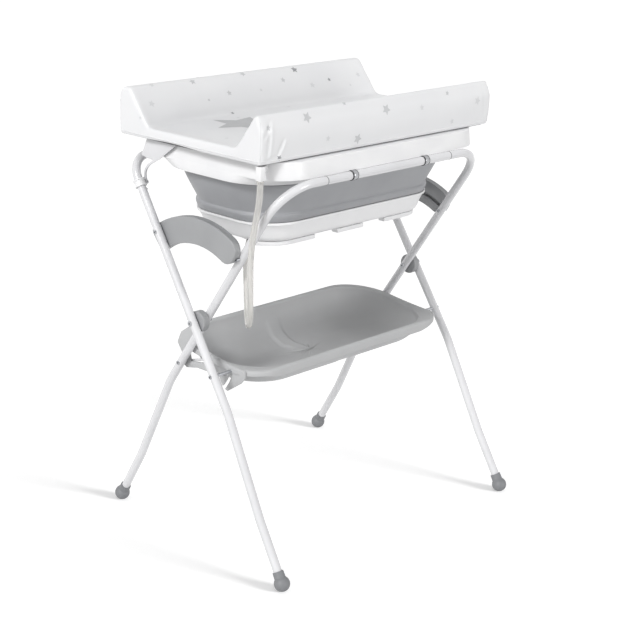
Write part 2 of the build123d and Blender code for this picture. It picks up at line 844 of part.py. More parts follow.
def bath_base():
    """Rigid floor of the bath with a bead at its top edge, feet pads and a drain hole."""
    side_sections = [
        (base_bottom_half_length, base_bottom_half_depth, base_bottom_corner, base_bottom_height),
        (base_top_half_length, base_top_half_depth, base_top_corner, base_top_height),
    ]
    outside = bowl(rounded_bottom(side_sections, base_rounding))
    bead = (base_top_half_length + base_bead_proud, base_top_half_depth + base_bead_proud, base_top_corner)
    outside += bowl([(*bead, base_top_height - base_bead_height), (*bead, base_top_height)])
    inner = inset_sections(side_sections, base_skin)
    floor = (*inner[0][:3], base_bottom_height + base_skin)
    top = (*inner[1][:3], base_top_height + overrun)
    base = outside - bowl(rounded_bottom([floor, top], base_rounding - base_skin))
    base += floor_pads()
    centre = drain_centre()
    hole = Cylinder(drain_hole_diameter / 2, 2 * (pad_height + base_rounding))
    return base - Pos(centre.X, centre.Y, base_bottom_height) * hole


def floor_pads():
    """Pads under the floor: one in the middle of each long side and one at each corner."""
    height = base_bottom_height - pad_height
    half_length, half_depth = base_bottom_half_length - pad_inset, base_bottom_half_depth - pad_inset
    corner = base_bottom_corner - pad_inset
    outer = rounded(half_length, half_depth, corner, height)
    inner = rounded(half_length - pad_width, half_depth - pad_width, corner - pad_width, height)
    band = extrude(outer - inner, pad_height + base_skin / 2)
    middle = Box(2 * pad_middle_half_length, 2 * base_top_half_depth, 2 * pad_height)
    end_length = base_top_half_length - pad_end_start
    end_width = base_top_half_depth - pad_end_half_gap
    end = Box(end_length, end_width, 2 * pad_height)
    zones = [Pos(0, 0, height) * middle]
    for x_side in (LEFT, RIGHT):
        for y_side in (LEFT, RIGHT):
            x = x_side * (pad_end_start + end_length / 2)
            y = y_side * (pad_end_half_gap + end_width / 2)
            zones.append(Pos(x, y, height) * end)
    return [band & zone for zone in zones]


def drain_centre():
    """Centre of the drain's elbow, in line with the last run of the hose."""
    last, before = Vector(*hose_points[-1]), Vector(*hose_points[-2])
    return last + (last - before).normalized() * drain_elbow_reach


def drain_outlet():
    """Nut and elbow under the floor, with the stub that the hose pushes on to."""
    centre, last = drain_centre(), Vector(*hose_points[-1])
    out = (last - centre).normalized()
    high = base_bottom_height - face_gap
    flange = Pos(centre.X, centre.Y, high - drain_flange_thickness / 2) * Cylinder(
        drain_flange_diameter / 2, drain_flange_thickness
    )
    neck = rod(Vector(centre.X, centre.Y, high - drain_flange_thickness / 2), centre, drain_elbow_diameter)
    elbow = Pos(*centre) * Sphere(drain_elbow_diameter / 2)
    arm = rod(centre, last - out * face_gap, drain_elbow_diameter)
    stub = rod(centre, last + out * drain_stub_length, spigot_diameter)
    return flange + neck + elbow + arm + stub


def hose_clip():
    """Clip at the rim's front left corner: an arm, a block and the stem that closes the hose's end."""
    top = Vector(*hose_points[0])
    block_top = rim_top_height - clip_top_gap
    height = block_top - top.Z
    block = Pos(top.X, top.Y, top.Z + height / 2) * Box(clip_block, clip_block, height)
    block = fillet(block.edges().filter_by(Axis.Z), clip_block / 5)
    stem = rod(top, top - Vector(0, 0, spigot_length), spigot_diameter)
    corner = Vector(-(rim_half_length - rim_corner), -(rim_half_depth - rim_corner), top.Z)
    towards = (corner - top).normalized()
    length = (corner - top).length - rim_corner
    turn = degrees(atan2(towards.Y, towards.X))
    arm_height = height / 2
    arm = Pos(top.X, top.Y, block_top - arm_height / 2 - clip_top_gap) * Rot(0, 0, turn) * Box(
        length + rim_top_inset / 4,
        clip_arm_width,
        arm_height,
        align=(Align.MIN, Align.CENTER, Align.CENTER),
    )
    clip = block + stem + arm
    return clip - bowl(rim_sections()) - bowl(skirt_sections())


def hose_radii():
    """As large an arc at each corner of the hose's route as its two runs allow."""
    points = [Vector(*point) for point in hose_points]
    radii = []
    for before, corner, after in zip(points, points[1:], points[2:]):
        first, second = corner - before, after - corner
        turn = radians(first.get_angle(second))
        radii.append(0.45 * min(first.length, second.length) / tan(turn / 2))
    return radii


def drain_hose():
    """Soft hose from the clip at the rim, round its hanging loop and up to the drain."""
    radii = hose_radii()
    print("hose radii", [round(radius) for radius in radii])
    path = FilletPolyline(*hose_points, radius=radii)
    hose = tube_on(path, hose_diameter, (hose_diameter - hose_bore) / 2)
    section = pi * (hose_diameter**2 - hose_bore**2) / 4
    share = hose.volume / (section * path.length)
    print("hose length", round(path.length), "volume share", round(share, 4))
    return hose


def hinge_tabs(side):
    """Two tabs welded under the back rail that hold the bath's hinge pin."""
    top = rail_height - tube_radius - face_gap / 2
    height = top - bath_hinge_height
    face = Pos(back_rail_depth, bath_hinge_height + height / 2) * Rectangle(hinge_tab_width, height)
    face += Pos(back_rail_depth, bath_hinge_height) * Circle(hinge_tab_width / 2)
    face -= Pos(back_rail_depth, bath_hinge_height) * Circle(hinge_pin_diameter / 2 + pin_play)
    reach = hinge_ear_thickness / 2 + seat_gap
    middle = side * bath_hinge_half_spacing
    near = plate_x(face, middle - reach - hinge_tab_thickness, middle - reach)
    far = plate_x(face, middle + reach, middle + reach + hinge_tab_thickness)
    return [near, far]


def hinge_pin(side, half_spacing, reach, y, z):
    """Headed pin of a hinge."""
    middle = side * half_spacing
    pin = rod_x(middle - reach, middle + reach, y, z, hinge_pin_diameter)
    head_size = 2 * hinge_pin_diameter - rivet_head_thickness
    for sign in (LEFT, RIGHT):
        start = middle + sign * reach
        pin += rod_x(start, start + sign * rivet_head_thickness / 2, y, z, head_size)
    return pin


def bath_hinge_pin(side):
    reach = hinge_ear_thickness / 2 + seat_gap + hinge_tab_thickness + face_gap
    return hinge_pin(side, bath_hinge_half_spacing, reach, back_rail_depth, bath_hinge_height)


def top_hinge_pin(side):
    reach = top_hinge_knuckle / 2 + seat_gap + top_hinge_knuckle + face_gap
    return hinge_pin(side, top_hinge_half_spacing, reach, top_hinge_depth, top_hinge_height)


# Changing top


def changer_board():
    """Stiff board under the mat."""
    half_length = mat_half_length - board_inset
    front, back = mat_front_depth - board_inset, mat_back_depth - board_inset
    depth = front + back
    board = Box(2 * half_length, depth, board_thickness)
    board = fillet(board.edges().filter_by(Axis.Z), board_corner)
    return Pos(0, (back - front) / 2, board_bottom_height + board_thickness / 2) * board


def top_hinge(side):
    """Hinge leaf screwed under the board, with two knuckles round the pin."""
    centre = Pos(top_hinge_depth, top_hinge_height)
    leaf_top = board_bottom_height - face_gap / 2
    drop = leaf_top - top_hinge_height
    knuckle = centre * Circle(top_hinge_boss_diameter / 2)
    knuckle += Pos(top_hinge_depth, top_hinge_height + drop / 2) * Rectangle(top_hinge_boss_diameter, drop)
    knuckle -= centre * Circle(hinge_pin_diameter / 2 + pin_play)
    middle = side * top_hinge_half_spacing
    near = top_hinge_knuckle / 2 + seat_gap
    leaf_half = near + top_hinge_knuckle
    hinge = plate_x(knuckle, middle - leaf_half, middle - near)
    hinge += plate_x(knuckle, middle + near, middle + leaf_half)
    leaf = Box(2 * leaf_half, top_hinge_boss_diameter, top_hinge_leaf_thickness)
    return hinge + Pos(middle, top_hinge_depth, leaf_top - top_hinge_leaf_thickness / 2) * leaf


def mat_profile(x, inset, crown):
    """Cross-section of the mat: a flat pad with a low bolster in front and a thicker one behind."""
    front, back = -mat_front_depth + inset - crown, mat_back_depth - inset + crown
    top = bolster_top_height - inset
    flat = mat_top_height - inset + crown
    front_in, back_in = front + front_bolster_width - inset / 2, back - back_bolster_width + inset / 2
    points = [
        (front, mat_bottom_height),
        (front, top),
        (front_in, top),
        (-mat_front_depth + front_bolster_foot, flat),
        (mat_back_depth - back_bolster_foot, flat),
        (back_in, top),
        (back, top),
        (back, mat_bottom_height),
    ]
    roundings = [
        0,
        front_bolster_rounding,
        bolster_inner_rounding / 2,
        bolster_foot_rounding,
        bolster_foot_rounding,
        bolster_inner_rounding,
        back_bolster_rounding,
        0,
    ]
    face = make_face(Polyline(*points, close=True))
    for point, radius in zip(points, roundings):
        if radius:
            corner = face.vertices().sort_by_distance((point[0], point[1], 0))[0]
            face = fillet(corner, radius)
    return Plane.YZ.offset(x) * face


def changer_mat():
    """Padded mat, fuller in the middle and drawn in at both ends."""
    sections = []
    for share, inset, crown in ((-1, mat_end_inset, 0), (0, 0, mat_crown), (1, mat_end_inset, 0)):
        if share:
            sections.append(mat_profile(share * mat_half_length, inset, crown))
            sections.append(mat_profile(share * (mat_half_length - mat_end_length), 0, 0))
        else:
            sections.append(mat_profile(0, inset, crown))
    sections.sort(key=lambda face: face.center().X)
    mat = loft(sections, ruled=True)
    half_length = mat_half_length - board_inset + seat_gap
    front, back = mat_front_depth - board_inset + seat_gap, mat_back_depth - board_inset + seat_gap
    recess_top = board_bottom_height + board_thickness + face_gap
    centred_top = (Align.CENTER, Align.CENTER, Align.MAX)
    recess = Box(2 * half_length, front + back, 2 * board_thickness, align=centred_top)
    recess = fillet(recess.edges().filter_by(Axis.Z), board_corner)
    return mat - Pos(0, (back - front) / 2, recess_top) * recess


def corner_bracket(side):
    """Thin bracket at a back corner: a plate under the mat's end and an arm down to the collar."""
    top = board_bottom_height - bracket_top_gap
    low_front = (bracket_low_front_depth, bracket_low_height)
    collar_y, collar_z = outer_leg_depth(leg_top_height), leg_top_height
    tip = (bracket_front_depth, top - bracket_arm_width / 2)
    plate = make_face(
        [
            Line(tip, (bracket_front_depth, top)),
            Line((bracket_front_depth, top), (bracket_top_back_depth, top)),
            Line((bracket_top_back_depth, top), (bracket_back_depth, bracket_back_height)),
            ThreePointArc((bracket_back_depth, bracket_back_height), bracket_low_middle, low_front),
            Spline(low_front, bracket_front_middle, tip),
        ]
    )
    back_corner = plate.vertices().sort_by_distance((bracket_top_back_depth, top, 0))[0]
    plate = fillet(back_corner, bracket_edge_radius)
    half = bracket_arm_width / 2
    arm_line = Spline(
        (bracket_front_middle[0] + half, bracket_front_middle[1] + half),
        (low_front[0], low_front[1] + half),
        bracket_arm_middle,
        (collar_y, collar_z),
    )
    arm = trace(arm_line, line_width=bracket_arm_width)
    boss = Pos(collar_y, collar_z) * Circle(bracket_boss_diameter / 2)
    end = bracket_plane + bracket_thickness
    bracket = plate_x(plate + arm, side * bracket_plane, side * end)
    boss_end = outer_x(collar_z) - collar_ridge_diameter / 2 - face_gap
    bracket += plate_x(boss, side * bracket_plane, side * max(boss_end, end))
    path = back_rail_path()
    clear = Circle(tube_radius + face_gap)
    return bracket - sweep(Plane(origin=path @ 0, z_dir=path % 0) * clear, path=path)


# Tray


def tray_line(front_height, middle_height, back_height):
    """Points along a curve in Y and Z that runs on past the tray's front and back."""
    reach = tray_front_corner
    slope_front = (middle_height - front_height) / tray_front_depth
    slope_back = (back_height - middle_height) / tray_back_depth
    return [
        (-tray_front_depth - reach, front_height - slope_front * reach),
        (-tray_front_depth, front_height),
        (tray_middle_depth, middle_height),
        (tray_back_depth, back_height),
        (tray_back_depth + reach, back_height + slope_back * reach),
    ]


def tray_slab(low_line, high_line):
    """Everything in the tray's length between two curves in Y and Z."""
    low, high = Spline(*low_line), Spline(*high_line)
    face = make_face([high, Line(high_line[-1], low_line[-1]), low, Line(low_line[0], high_line[0])])
    return plate_x(face, -tray_half_length - overrun, tray_half_length + overrun)


def tray_rim_line(drop):
    """The rim's height from front to back, less a drop."""
    return tray_line(tray_front_height - drop, tray_middle_height - drop, tray_back_height - drop)


def tray_outline(inset, corner_drop, height):
    """The tray's outline at a height, drawn in by an inset, with each corner smaller by a drop."""
    face = Rectangle(2 * (tray_half_length - inset), 2 * (tray_half_depth - inset))
    corners = face.vertices().sort_by(Axis.Y)
    front = max(tray_front_corner - corner_drop, tray_front_corner / 3)
    back = max(tray_back_corner - corner_drop, tray_front_corner / 3)
    face = fillet(corners[2:], back)
    front_corners = face.vertices().sort_by(Axis.Y)[:2]
    return Pos(0, tray_middle_depth, height) * fillet(front_corners, front)


def tray_block(inset, low, high):
    """Upright block with the rim's outline drawn in by an amount."""
    return extrude(tray_outline(inset, inset, low), high - low)


def tray_bowl(inset, rise):
    """The bowl's body, drawn in and raised by amounts."""
    heights = [tray_floor_height + step for step in (0, *tray_wall_steps)]
    insets = (tray_floor_inset, *tray_wall_insets)
    sections = []
    for height, wall_inset in zip(heights, insets):
        total = wall_inset + inset
        sections.append(tray_outline(total, total * tray_corner_share, height + rise))
    return loft(sections, ruled=True)


def tray_rib():
    """Low ridge across the middle of the floor, which follows the bowl's shape up its walls."""
    height = tray_middle_height - tray_floor_height
    band = Rectangle(tray_rib_width, 2 * (tray_half_depth - tray_lip_width))
    wall = extrude(Pos(0, tray_middle_depth, tray_floor_height) * band, height)
    top = tray_skin + tray_rib_height
    ridge = tray_bowl(tray_skin / 2, tray_skin / 2) - tray_bowl(top, top)
    return wall & ridge


def tray():
    """Deep tray with a rolled rim that rises to the back, and an ear at each end."""
    low, high = tray_floor_height - overrun, tray_back_height + tray_front_corner
    apron_rises = (tray_apron_front_rise, tray_apron_middle_rise, tray_apron_back_rise)
    apron_line = tray_line(*[tray_pivot_height + rise for rise in apron_rises])
    apron = tray_block(0, low, high) - tray_block(tray_skin, low, high)
    apron &= tray_slab(apron_line, tray_rim_line(0))
    window_back = inner_leg_depth(tray_pivot_height) + tray_pin_diameter
    window = Box(
        2 * tray_half_length,
        window_back + tray_window_front_depth,
        tray_window_rise + tray_floor_drop,
        align=(Align.CENTER, Align.MIN, Align.MIN),
    )
    window = Pos(0, -tray_window_front_depth, tray_floor_height) * window
    apron -= window
    lip = tray_block(0, low, high) - tray_block(tray_lip_width, low, high)
    lip &= tray_slab(tray_rim_line(tray_skin), tray_rim_line(0))
    shell = tray_bowl(0, 0) - tray_bowl(tray_skin, tray_skin)
    floor_line = [(y, tray_floor_height - overrun) for y, _ in tray_rim_line(0)]
    high_line = tray_rim_line(tray_skin / 4)
    face = Polyline(*floor_line[:1], *high_line, floor_line[-1], close=True)
    shell &= plate_x(make_face(face), -tray_half_length - overrun, tray_half_length + overrun)
    body = shell + lip + apron + tray_rib()
    for side in SIDES.values():
        body += tray_ear(side)
        body -= plate_x(tray_slot(), side * (tray_ear_plane - overrun), side * (tray_ear_plane + overrun))
    return body


def turned(point, centre, angle):
    """A point in Y and Z turned about a centre by degrees, from Y towards Z."""
    y, z = point[0] - centre[0], point[1] - centre[1]
    along, across = cos(radians(angle)), sin(radians(angle))
    return (centre[0] + y * along - z * across, centre[1] + y * across + z * along)


def hook_pin_from_tray(angle):
    """Where the tray sees the hook pin when the stand is folded by an angle."""
    pin = (outer_leg_depth(tray_hook_height), tray_hook_height)
    pin = turned(pin, (0, hub_height), angle)
    pivot = (inner_leg_depth(tray_pivot_height), tray_pivot_height)
    return turned(pin, pivot, tray_fold_ratio * angle)


def tray_slot():
    """Outline of the slot that drops over the hook pin: the way that the pin takes out of it."""
    width = tray_pin_diameter + 2 * seat_gap
    places = [hook_pin_from_tray(share * fold_angle) for share in tray_slot_shares]
    return trace(Spline(*places), line_width=width) + Pos(*places[0]) * Circle(width / 2)


def tray_ear(side):
    """End plate of the tray: a lobe and a boss behind, a hook over the outer pin in front."""
    pivot = (inner_leg_depth(tray_pivot_height), tray_pivot_height)
    hook = (outer_leg_depth(tray_hook_height), tray_hook_height)
    boss = tray_pin_diameter + small_rivet_diameter
    points = [(pivot[0] + y * boss, pivot[1] + z * boss) for y, z in tray_ear_back_shares]
    points += [(hook[0] + y * boss, hook[1] + z * boss) for y, z in tray_ear_front_shares]
    face = make_face(Polyline(*points, close=True))
    face = fillet(face.vertices(), tray_ear_edge_radius)
    face -= Pos(*pivot) * Circle(small_rivet_diameter / 2 + pin_play) + tray_slot()
    return plate_x(face, side * tray_ear_plane, side * (tray_ear_plane + tray_ear_thickness))


def tray_wire(side):
    """Bent wire along the end of the tray, over the gap in its ear."""
    pivot_y = inner_leg_depth(tray_pivot_height)
    x = side * (tray_ear_plane - tray_wire_diameter / 2 - seat_gap)
    places = [(x, pivot_y + y, tray_pivot_height + z) for y, z in tray_wire_places]
    path = FilletPolyline(*places, radius=tray_wire_bend)
    return sweep(Plane(origin=path @ 0, z_dir=path % 0) * Circle(tray_wire_diameter / 2), path=path)


def build():
    """Every piece of the table by name."""
    pieces = {}
    for name, side in SIDES.items():
        pieces[f"inner_leg_{name}"] = inner_leg(side)
        pieces[f"outer_leg_{name}"] = outer_leg(side)
        pieces[f"back_foot_{name}"] = foot(side, inner_x, front_rail_depth, 1)
        pieces[f"front_foot_{name}"] = foot(side, outer_x, back_rail_depth, -1)
        pieces[f"leg_collar_{name}"] = collar(side)
        pieces[f"spring_button_{name}"] = spring_button(side)
        pieces[f"button_spring_{name}"] = button_spring(side)
        pieces[f"hub_disc_{name}"] = hub_disc(side)
        pieces[f"arc_cover_{name}"] = arc_cover(side)
        pieces[f"arc_guide_{name}"] = arc_guide(side)
        pieces[f"corner_bracket_{name}"] = corner_bracket(side)
        pieces[f"tray_wire_{name}"] = tray_wire(side)
    both = list(SIDES.values())
    pieces["back_rail"] = back_rail()
    pieces["front_rail"] = front_rail()
    pieces["rail_rings"] = [rail_ring(side) for side in both]
    pieces["rail_plugs"] = [rail_plug(side) for side in both]
    pieces["hub_rivets"] = [hub_rivet(side) for side in both]
    pieces["arc_bolts"] = [arc_bolt(side) for side in both]
    pieces["guide_pins"] = [guide_pin(side) for side in both]
    pieces["tray_pivot_pins"] = [tray_pivot_pin(side) for side in both]
    pieces["tray_hook_pins"] = [tray_hook_pin(side) for side in both]
    pieces["hinge_tabs"] = [tab for side in both for tab in hinge_tabs(side)]
    pieces["bath_hinge_pins"] = [bath_hinge_pin(side) for side in both]
    pieces["bath_rim"] = bath_rim()
    pieces["bath_wall"] = bath_wall()
    pieces["bath_base"] = bath_base()
    pieces["drain_outlet"] = drain_outlet()
    pieces["hose_clip"] = hose_clip()
    pieces["drain_hose"] = drain_hose()
    pieces["changer_board"] = changer_board()
    pieces["changer_mat"] = changer_mat()
    pieces["top_hinges"] = [top_hinge(side) for side in both]
    pieces["top_hinge_pins"] = [top_hinge_pin(side) for side in both]
    pieces["tray"] = tray()
    return pieces


def main():
    os.makedirs("parts", exist_ok=True)
    for name, shape in build().items():
        if isinstance(shape, list):
            shape = Compound(children=shape)
        export_step(shape, f"parts/{name}.step")


main()
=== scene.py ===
# %% [markdown]
# A folding changing table with a bath under its padded top, a tray below and a drain hose.
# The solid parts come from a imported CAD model. This script gives them their finishes and builds
# the soft pieces around them: the mat, the folding bath wall and the hose.
# Lengths are in metres, X runs along the table, the front is towards -Y and Z points up.

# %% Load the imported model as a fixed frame
import json
import random
from math import copysign, cos, hypot, pi, radians, sin, tan

import bmesh
import bpy
from mathutils import Matrix, Vector
from mathutils.bvhtree import BVHTree


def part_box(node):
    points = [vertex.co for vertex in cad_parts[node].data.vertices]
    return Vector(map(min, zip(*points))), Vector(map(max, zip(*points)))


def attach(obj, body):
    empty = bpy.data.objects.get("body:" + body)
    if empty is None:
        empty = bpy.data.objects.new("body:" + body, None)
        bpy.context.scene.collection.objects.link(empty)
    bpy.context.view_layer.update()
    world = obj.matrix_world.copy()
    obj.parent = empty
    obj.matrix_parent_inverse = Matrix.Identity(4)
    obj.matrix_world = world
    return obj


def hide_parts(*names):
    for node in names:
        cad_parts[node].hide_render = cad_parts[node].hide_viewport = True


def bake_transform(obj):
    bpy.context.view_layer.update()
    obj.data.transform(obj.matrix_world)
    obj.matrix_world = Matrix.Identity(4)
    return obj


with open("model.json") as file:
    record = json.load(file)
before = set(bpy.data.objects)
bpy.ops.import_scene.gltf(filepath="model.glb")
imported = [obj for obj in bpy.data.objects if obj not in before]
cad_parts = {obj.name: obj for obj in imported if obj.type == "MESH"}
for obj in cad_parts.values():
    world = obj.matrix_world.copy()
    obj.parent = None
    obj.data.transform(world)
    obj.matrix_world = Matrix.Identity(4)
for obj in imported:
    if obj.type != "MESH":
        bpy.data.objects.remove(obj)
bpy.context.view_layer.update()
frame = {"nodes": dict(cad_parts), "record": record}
nodes = frame["nodes"]
mm = 0.001

# %% [markdown]
# The camera. Its place and turn were fitted to the feet, legs and rails in the photograph, so it
# could not be set by eye. It looks along +X and +Y and a little down, and leans by about a degree.
# A camera in Blender looks along its own -Z, so its axes are written as the columns of a matrix.

# %% Camera
photo_size = 625.0
camera_place = Vector((-2.33621, -2.28836, 1.52602))
camera_turn, camera_fall, camera_lean = radians(45.6309), radians(17.9128), radians(1.27654)
focal_pixels = 1475.87
sensor = 36.0

ahead = Vector((
    sin(camera_turn) * cos(camera_fall), cos(camera_turn) * cos(camera_fall), -sin(camera_fall),
))
level = Vector((cos(camera_turn), -sin(camera_turn), 0.0))
above = level.cross(ahead)
camera_right = level * cos(camera_lean) + above * sin(camera_lean)
camera_up = above * cos(camera_lean) - level * sin(camera_lean)

camera_data = bpy.data.cameras.new("camera")
camera_data.lens = focal_pixels / photo_size * sensor
camera_data.sensor_width = sensor
camera_data.clip_end = 50.0
camera = bpy.data.objects.new("camera", camera_data)
bpy.context.scene.collection.objects.link(camera)
turn = Matrix((camera_right, camera_up, -ahead)).transposed().to_4x4()
camera.matrix_world = Matrix.Translation(camera_place) @ turn
bpy.context.scene.camera = camera


def sight_line(pixel_x, pixel_y):
    """Direction from the camera through a pixel of the photograph."""
    across = (pixel_x - photo_size / 2) / focal_pixels
    down = (pixel_y - photo_size / 2) / focal_pixels
    return (ahead + camera_right * across - camera_up * down).normalized()


print("camera lens", round(camera_data.lens, 2), "mm")

# %% [markdown]
# Helpers for meshes. Most soft pieces here are skins stretched over a row of closed rings, which
# is how a sheet-metal worker or a boat builder would think of them. A function that joins any
# list of rings is worth more than one special function for each piece. Helpers that only one
# kind of piece needs come later, where that piece is made.

# %% Meshes from lists and from rings
def new_piece(name, vertices, faces):
    """A smoothly shaded mesh object from plain lists, linked to the scene."""
    mesh = bpy.data.meshes.new(name)
    mesh.from_pydata([tuple(v) for v in vertices], [], faces)
    mesh.validate()
    mesh.polygons.foreach_set("use_smooth", [True] * len(mesh.polygons))
    piece = bpy.data.objects.new(name, mesh)
    bpy.context.scene.collection.objects.link(piece)
    return piece


def skin(name, rings, closed=False):
    """Quads between neighbouring rings of equally many points; the end rings get caps."""
    count = len(rings[0])
    vertices = [point for ring in rings for point in ring]
    faces = []
    pairs = len(rings) if closed else len(rings) - 1
    for row in range(pairs):
        start, after = row * count, (row + 1) % len(rings) * count
        for i in range(count):
            j = (i + 1) % count
            faces.append((start + i, start + j, after + j, after + i))
    if not closed:
        faces.append(tuple(range(count - 1, -1, -1)))
        faces.append(tuple(range(len(vertices) - count, len(vertices))))
    return new_piece(name, vertices, faces)


print("mesh helpers ready")

# %% [markdown]
# Shader groups. Powder coat, moulded plastic and coated cloth all differ in scale but share three
# effects: a fine relief, a cloudy change of tone, and patches where hands have polished the
# surface. Each effect is one node group, used in every material with its own values.

# %% A group with named sockets, and a noise in it
def open_group(name, inputs, outputs):
    """A shader node group with named sockets; values are (name, kind, default)."""
    group = bpy.data.node_groups.new(name, "ShaderNodeTree")
    for label, kind, default in inputs:
        socket = group.interface.new_socket(label, in_out="INPUT", socket_type=kind)
        socket.default_value = default
    for label, kind in outputs:
        group.interface.new_socket(label, in_out="OUTPUT", socket_type=kind)
    entry = group.nodes.new("NodeGroupInput")
    exit_node = group.nodes.new("NodeGroupOutput")
    return group, entry, exit_node


def noise_in(group, entry, scale_socket, detail, stretch=(1.0, 1.0, 1.0)):
    """A noise over the piece's own coordinates, whose scale comes from a socket of the group."""
    place = group.nodes.new("ShaderNodeTexCoord")
    mapping = group.nodes.new("ShaderNodeMapping")
    mapping.inputs["Scale"].default_value = stretch
    noise = group.nodes.new("ShaderNodeTexNoise")
    noise.inputs["Detail"].default_value = detail
    group.links.new(place.outputs["Object"], mapping.inputs["Vector"])
    group.links.new(mapping.outputs["Vector"], noise.inputs["Vector"])
    group.links.new(entry.outputs[scale_socket], noise.inputs["Scale"])
    return noise

# %% Fine relief
def make_relief():
    """Fine relief: small grains on larger, shallower waves."""
    group, entry, exit_node = open_group(
        "fine_relief",
        [("Grain scale", "NodeSocketFloat", 900.0), ("Wave scale", "NodeSocketFloat", 40.0),
         ("Wave share", "NodeSocketFloat", 0.4)],
        [("Height", "NodeSocketFloat")],
    )
    grain = noise_in(group, entry, "Grain scale", 2.0)
    wave = noise_in(group, entry, "Wave scale", 1.0)
    mix = group.nodes.new("ShaderNodeMix")
    group.links.new(entry.outputs["Wave share"], mix.inputs["Factor"])
    group.links.new(grain.outputs["Fac"], mix.inputs["A"])
    group.links.new(wave.outputs["Fac"], mix.inputs["B"])
    group.links.new(mix.outputs["Result"], exit_node.inputs["Height"])
    return group


relief_group = make_relief()
print("group", relief_group.name)

# %% Cloudy tone
def make_cloud():
    """Cloudy tone: the colour goes a little darker in soft patches."""
    group, entry, exit_node = open_group(
        "cloudy_tone",
        [("Color", "NodeSocketColor", (0.8, 0.8, 0.8, 1)),
         ("Shade", "NodeSocketColor", (0.7, 0.7, 0.7, 1)),
         ("Scale", "NodeSocketFloat", 12.0)],
        [("Color", "NodeSocketColor")],
    )
    noise = noise_in(group, entry, "Scale", 3.0)
    ramp = group.nodes.new("ShaderNodeMapRange")
    ramp.inputs["From Min"].default_value = 0.35
    ramp.inputs["From Max"].default_value = 0.7
    mix = group.nodes.new("ShaderNodeMix")
    mix.data_type = "RGBA"
    group.links.new(noise.outputs["Fac"], ramp.inputs["Value"])
    group.links.new(ramp.outputs["Result"], mix.inputs["Factor"])
    group.links.new(entry.outputs["Color"], mix.inputs["A"])
    group.links.new(entry.outputs["Shade"], mix.inputs["B"])
    group.links.new(mix.outputs["Result"], exit_node.inputs["Color"])
    return group


cloud_group = make_cloud()
print("group", cloud_group.name)

# %% Handling marks
def make_handling():
    """Handling marks: roughness drifts between two values in streaky patches."""
    group, entry, exit_node = open_group(
        "handling_marks",
        [("Smooth", "NodeSocketFloat", 0.3), ("Rough", "NodeSocketFloat", 0.45),
         ("Scale", "NodeSocketFloat", 18.0)],
        [("Roughness", "NodeSocketFloat")],
    )
    noise = noise_in(group, entry, "Scale", 4.0, stretch=(0.5, 1.0, 1.0))
    mix = group.nodes.new("ShaderNodeMix")
    group.links.new(noise.outputs["Fac"], mix.inputs["Factor"])
    group.links.new(entry.outputs["Smooth"], mix.inputs["A"])
    group.links.new(entry.outputs["Rough"], mix.inputs["B"])
    group.links.new(mix.outputs["Result"], exit_node.inputs["Roughness"])
    return group


handling_group = make_handling()
print("group", handling_group.name)

# %% Drawn lines of metal
def make_brush():
    """Drawn metal: very fine lines along X from the machine that pulled the bar."""
    group, entry, exit_node = open_group(
        "drawn_lines", [("Scale", "NodeSocketFloat", 400.0)], [("Height", "NodeSocketFloat")],
    )
    noise = noise_in(group, entry, "Scale", 2.0, stretch=(0.04, 1.0, 1.0))
    group.links.new(noise.outputs["Fac"], exit_node.inputs["Height"])
    return group


brush_group = make_brush()
print("group", brush_group.name)

# %% [markdown]
# Materials. All surfaces of this table are paint, plastic or coated cloth, so they share one
# layout: cloudy tone into the colour, handling marks into the roughness, and a relief into a bump.
# What tells them apart is the size of the relief, how even the gloss is, and a clear coat on
# the paint. One function builds that layout and each material is a line of values.

# %% Material builder
def group_node(tree, group, **values):
    """Places a group in a material; an underscore in a value's name stands for a space."""
    node = tree.nodes.new("ShaderNodeGroup")
    node.node_tree = group
    for label, value in values.items():
        node.inputs[label.replace("_", " ")].default_value = value
    return node


def finish(
    name, color, shade, roughness, grain=900.0, wave=40.0, wave_share=0.4,
    bump=0.15, height=0.0002, cloud=12.0, marks=18.0, relief=None, **sockets,
):
    """A material in the layout above. Other sockets of the shader are given by name."""
    material = bpy.data.materials.new(name)
    material.use_nodes = True
    tree = material.node_tree
    shader = tree.nodes["Principled BSDF"]
    tone = group_node(tree, cloud_group, Color=(*color, 1), Shade=(*shade, 1), Scale=cloud)
    polish = group_node(tree, handling_group, Smooth=roughness[0], Rough=roughness[1], Scale=marks)
    if relief is None:
        relief = group_node(
            tree, relief_group, Grain_scale=grain, Wave_scale=wave, Wave_share=wave_share,
        )
    else:
        relief = group_node(tree, relief, Scale=grain)
    bump_node = tree.nodes.new("ShaderNodeBump")
    bump_node.inputs["Strength"].default_value = bump
    bump_node.inputs["Distance"].default_value = height
    tree.links.new(tone.outputs["Color"], shader.inputs["Base Color"])
    tree.links.new(polish.outputs["Roughness"], shader.inputs["Roughness"])
    tree.links.new(relief.outputs["Height"], bump_node.inputs["Height"])
    tree.links.new(bump_node.outputs["Normal"], shader.inputs["Normal"])
    for label, value in sockets.items():
        shader.inputs[label.replace("_", " ")].default_value = value
    material.diffuse_color = (*color, 1)
    return material


print("material builder ready")

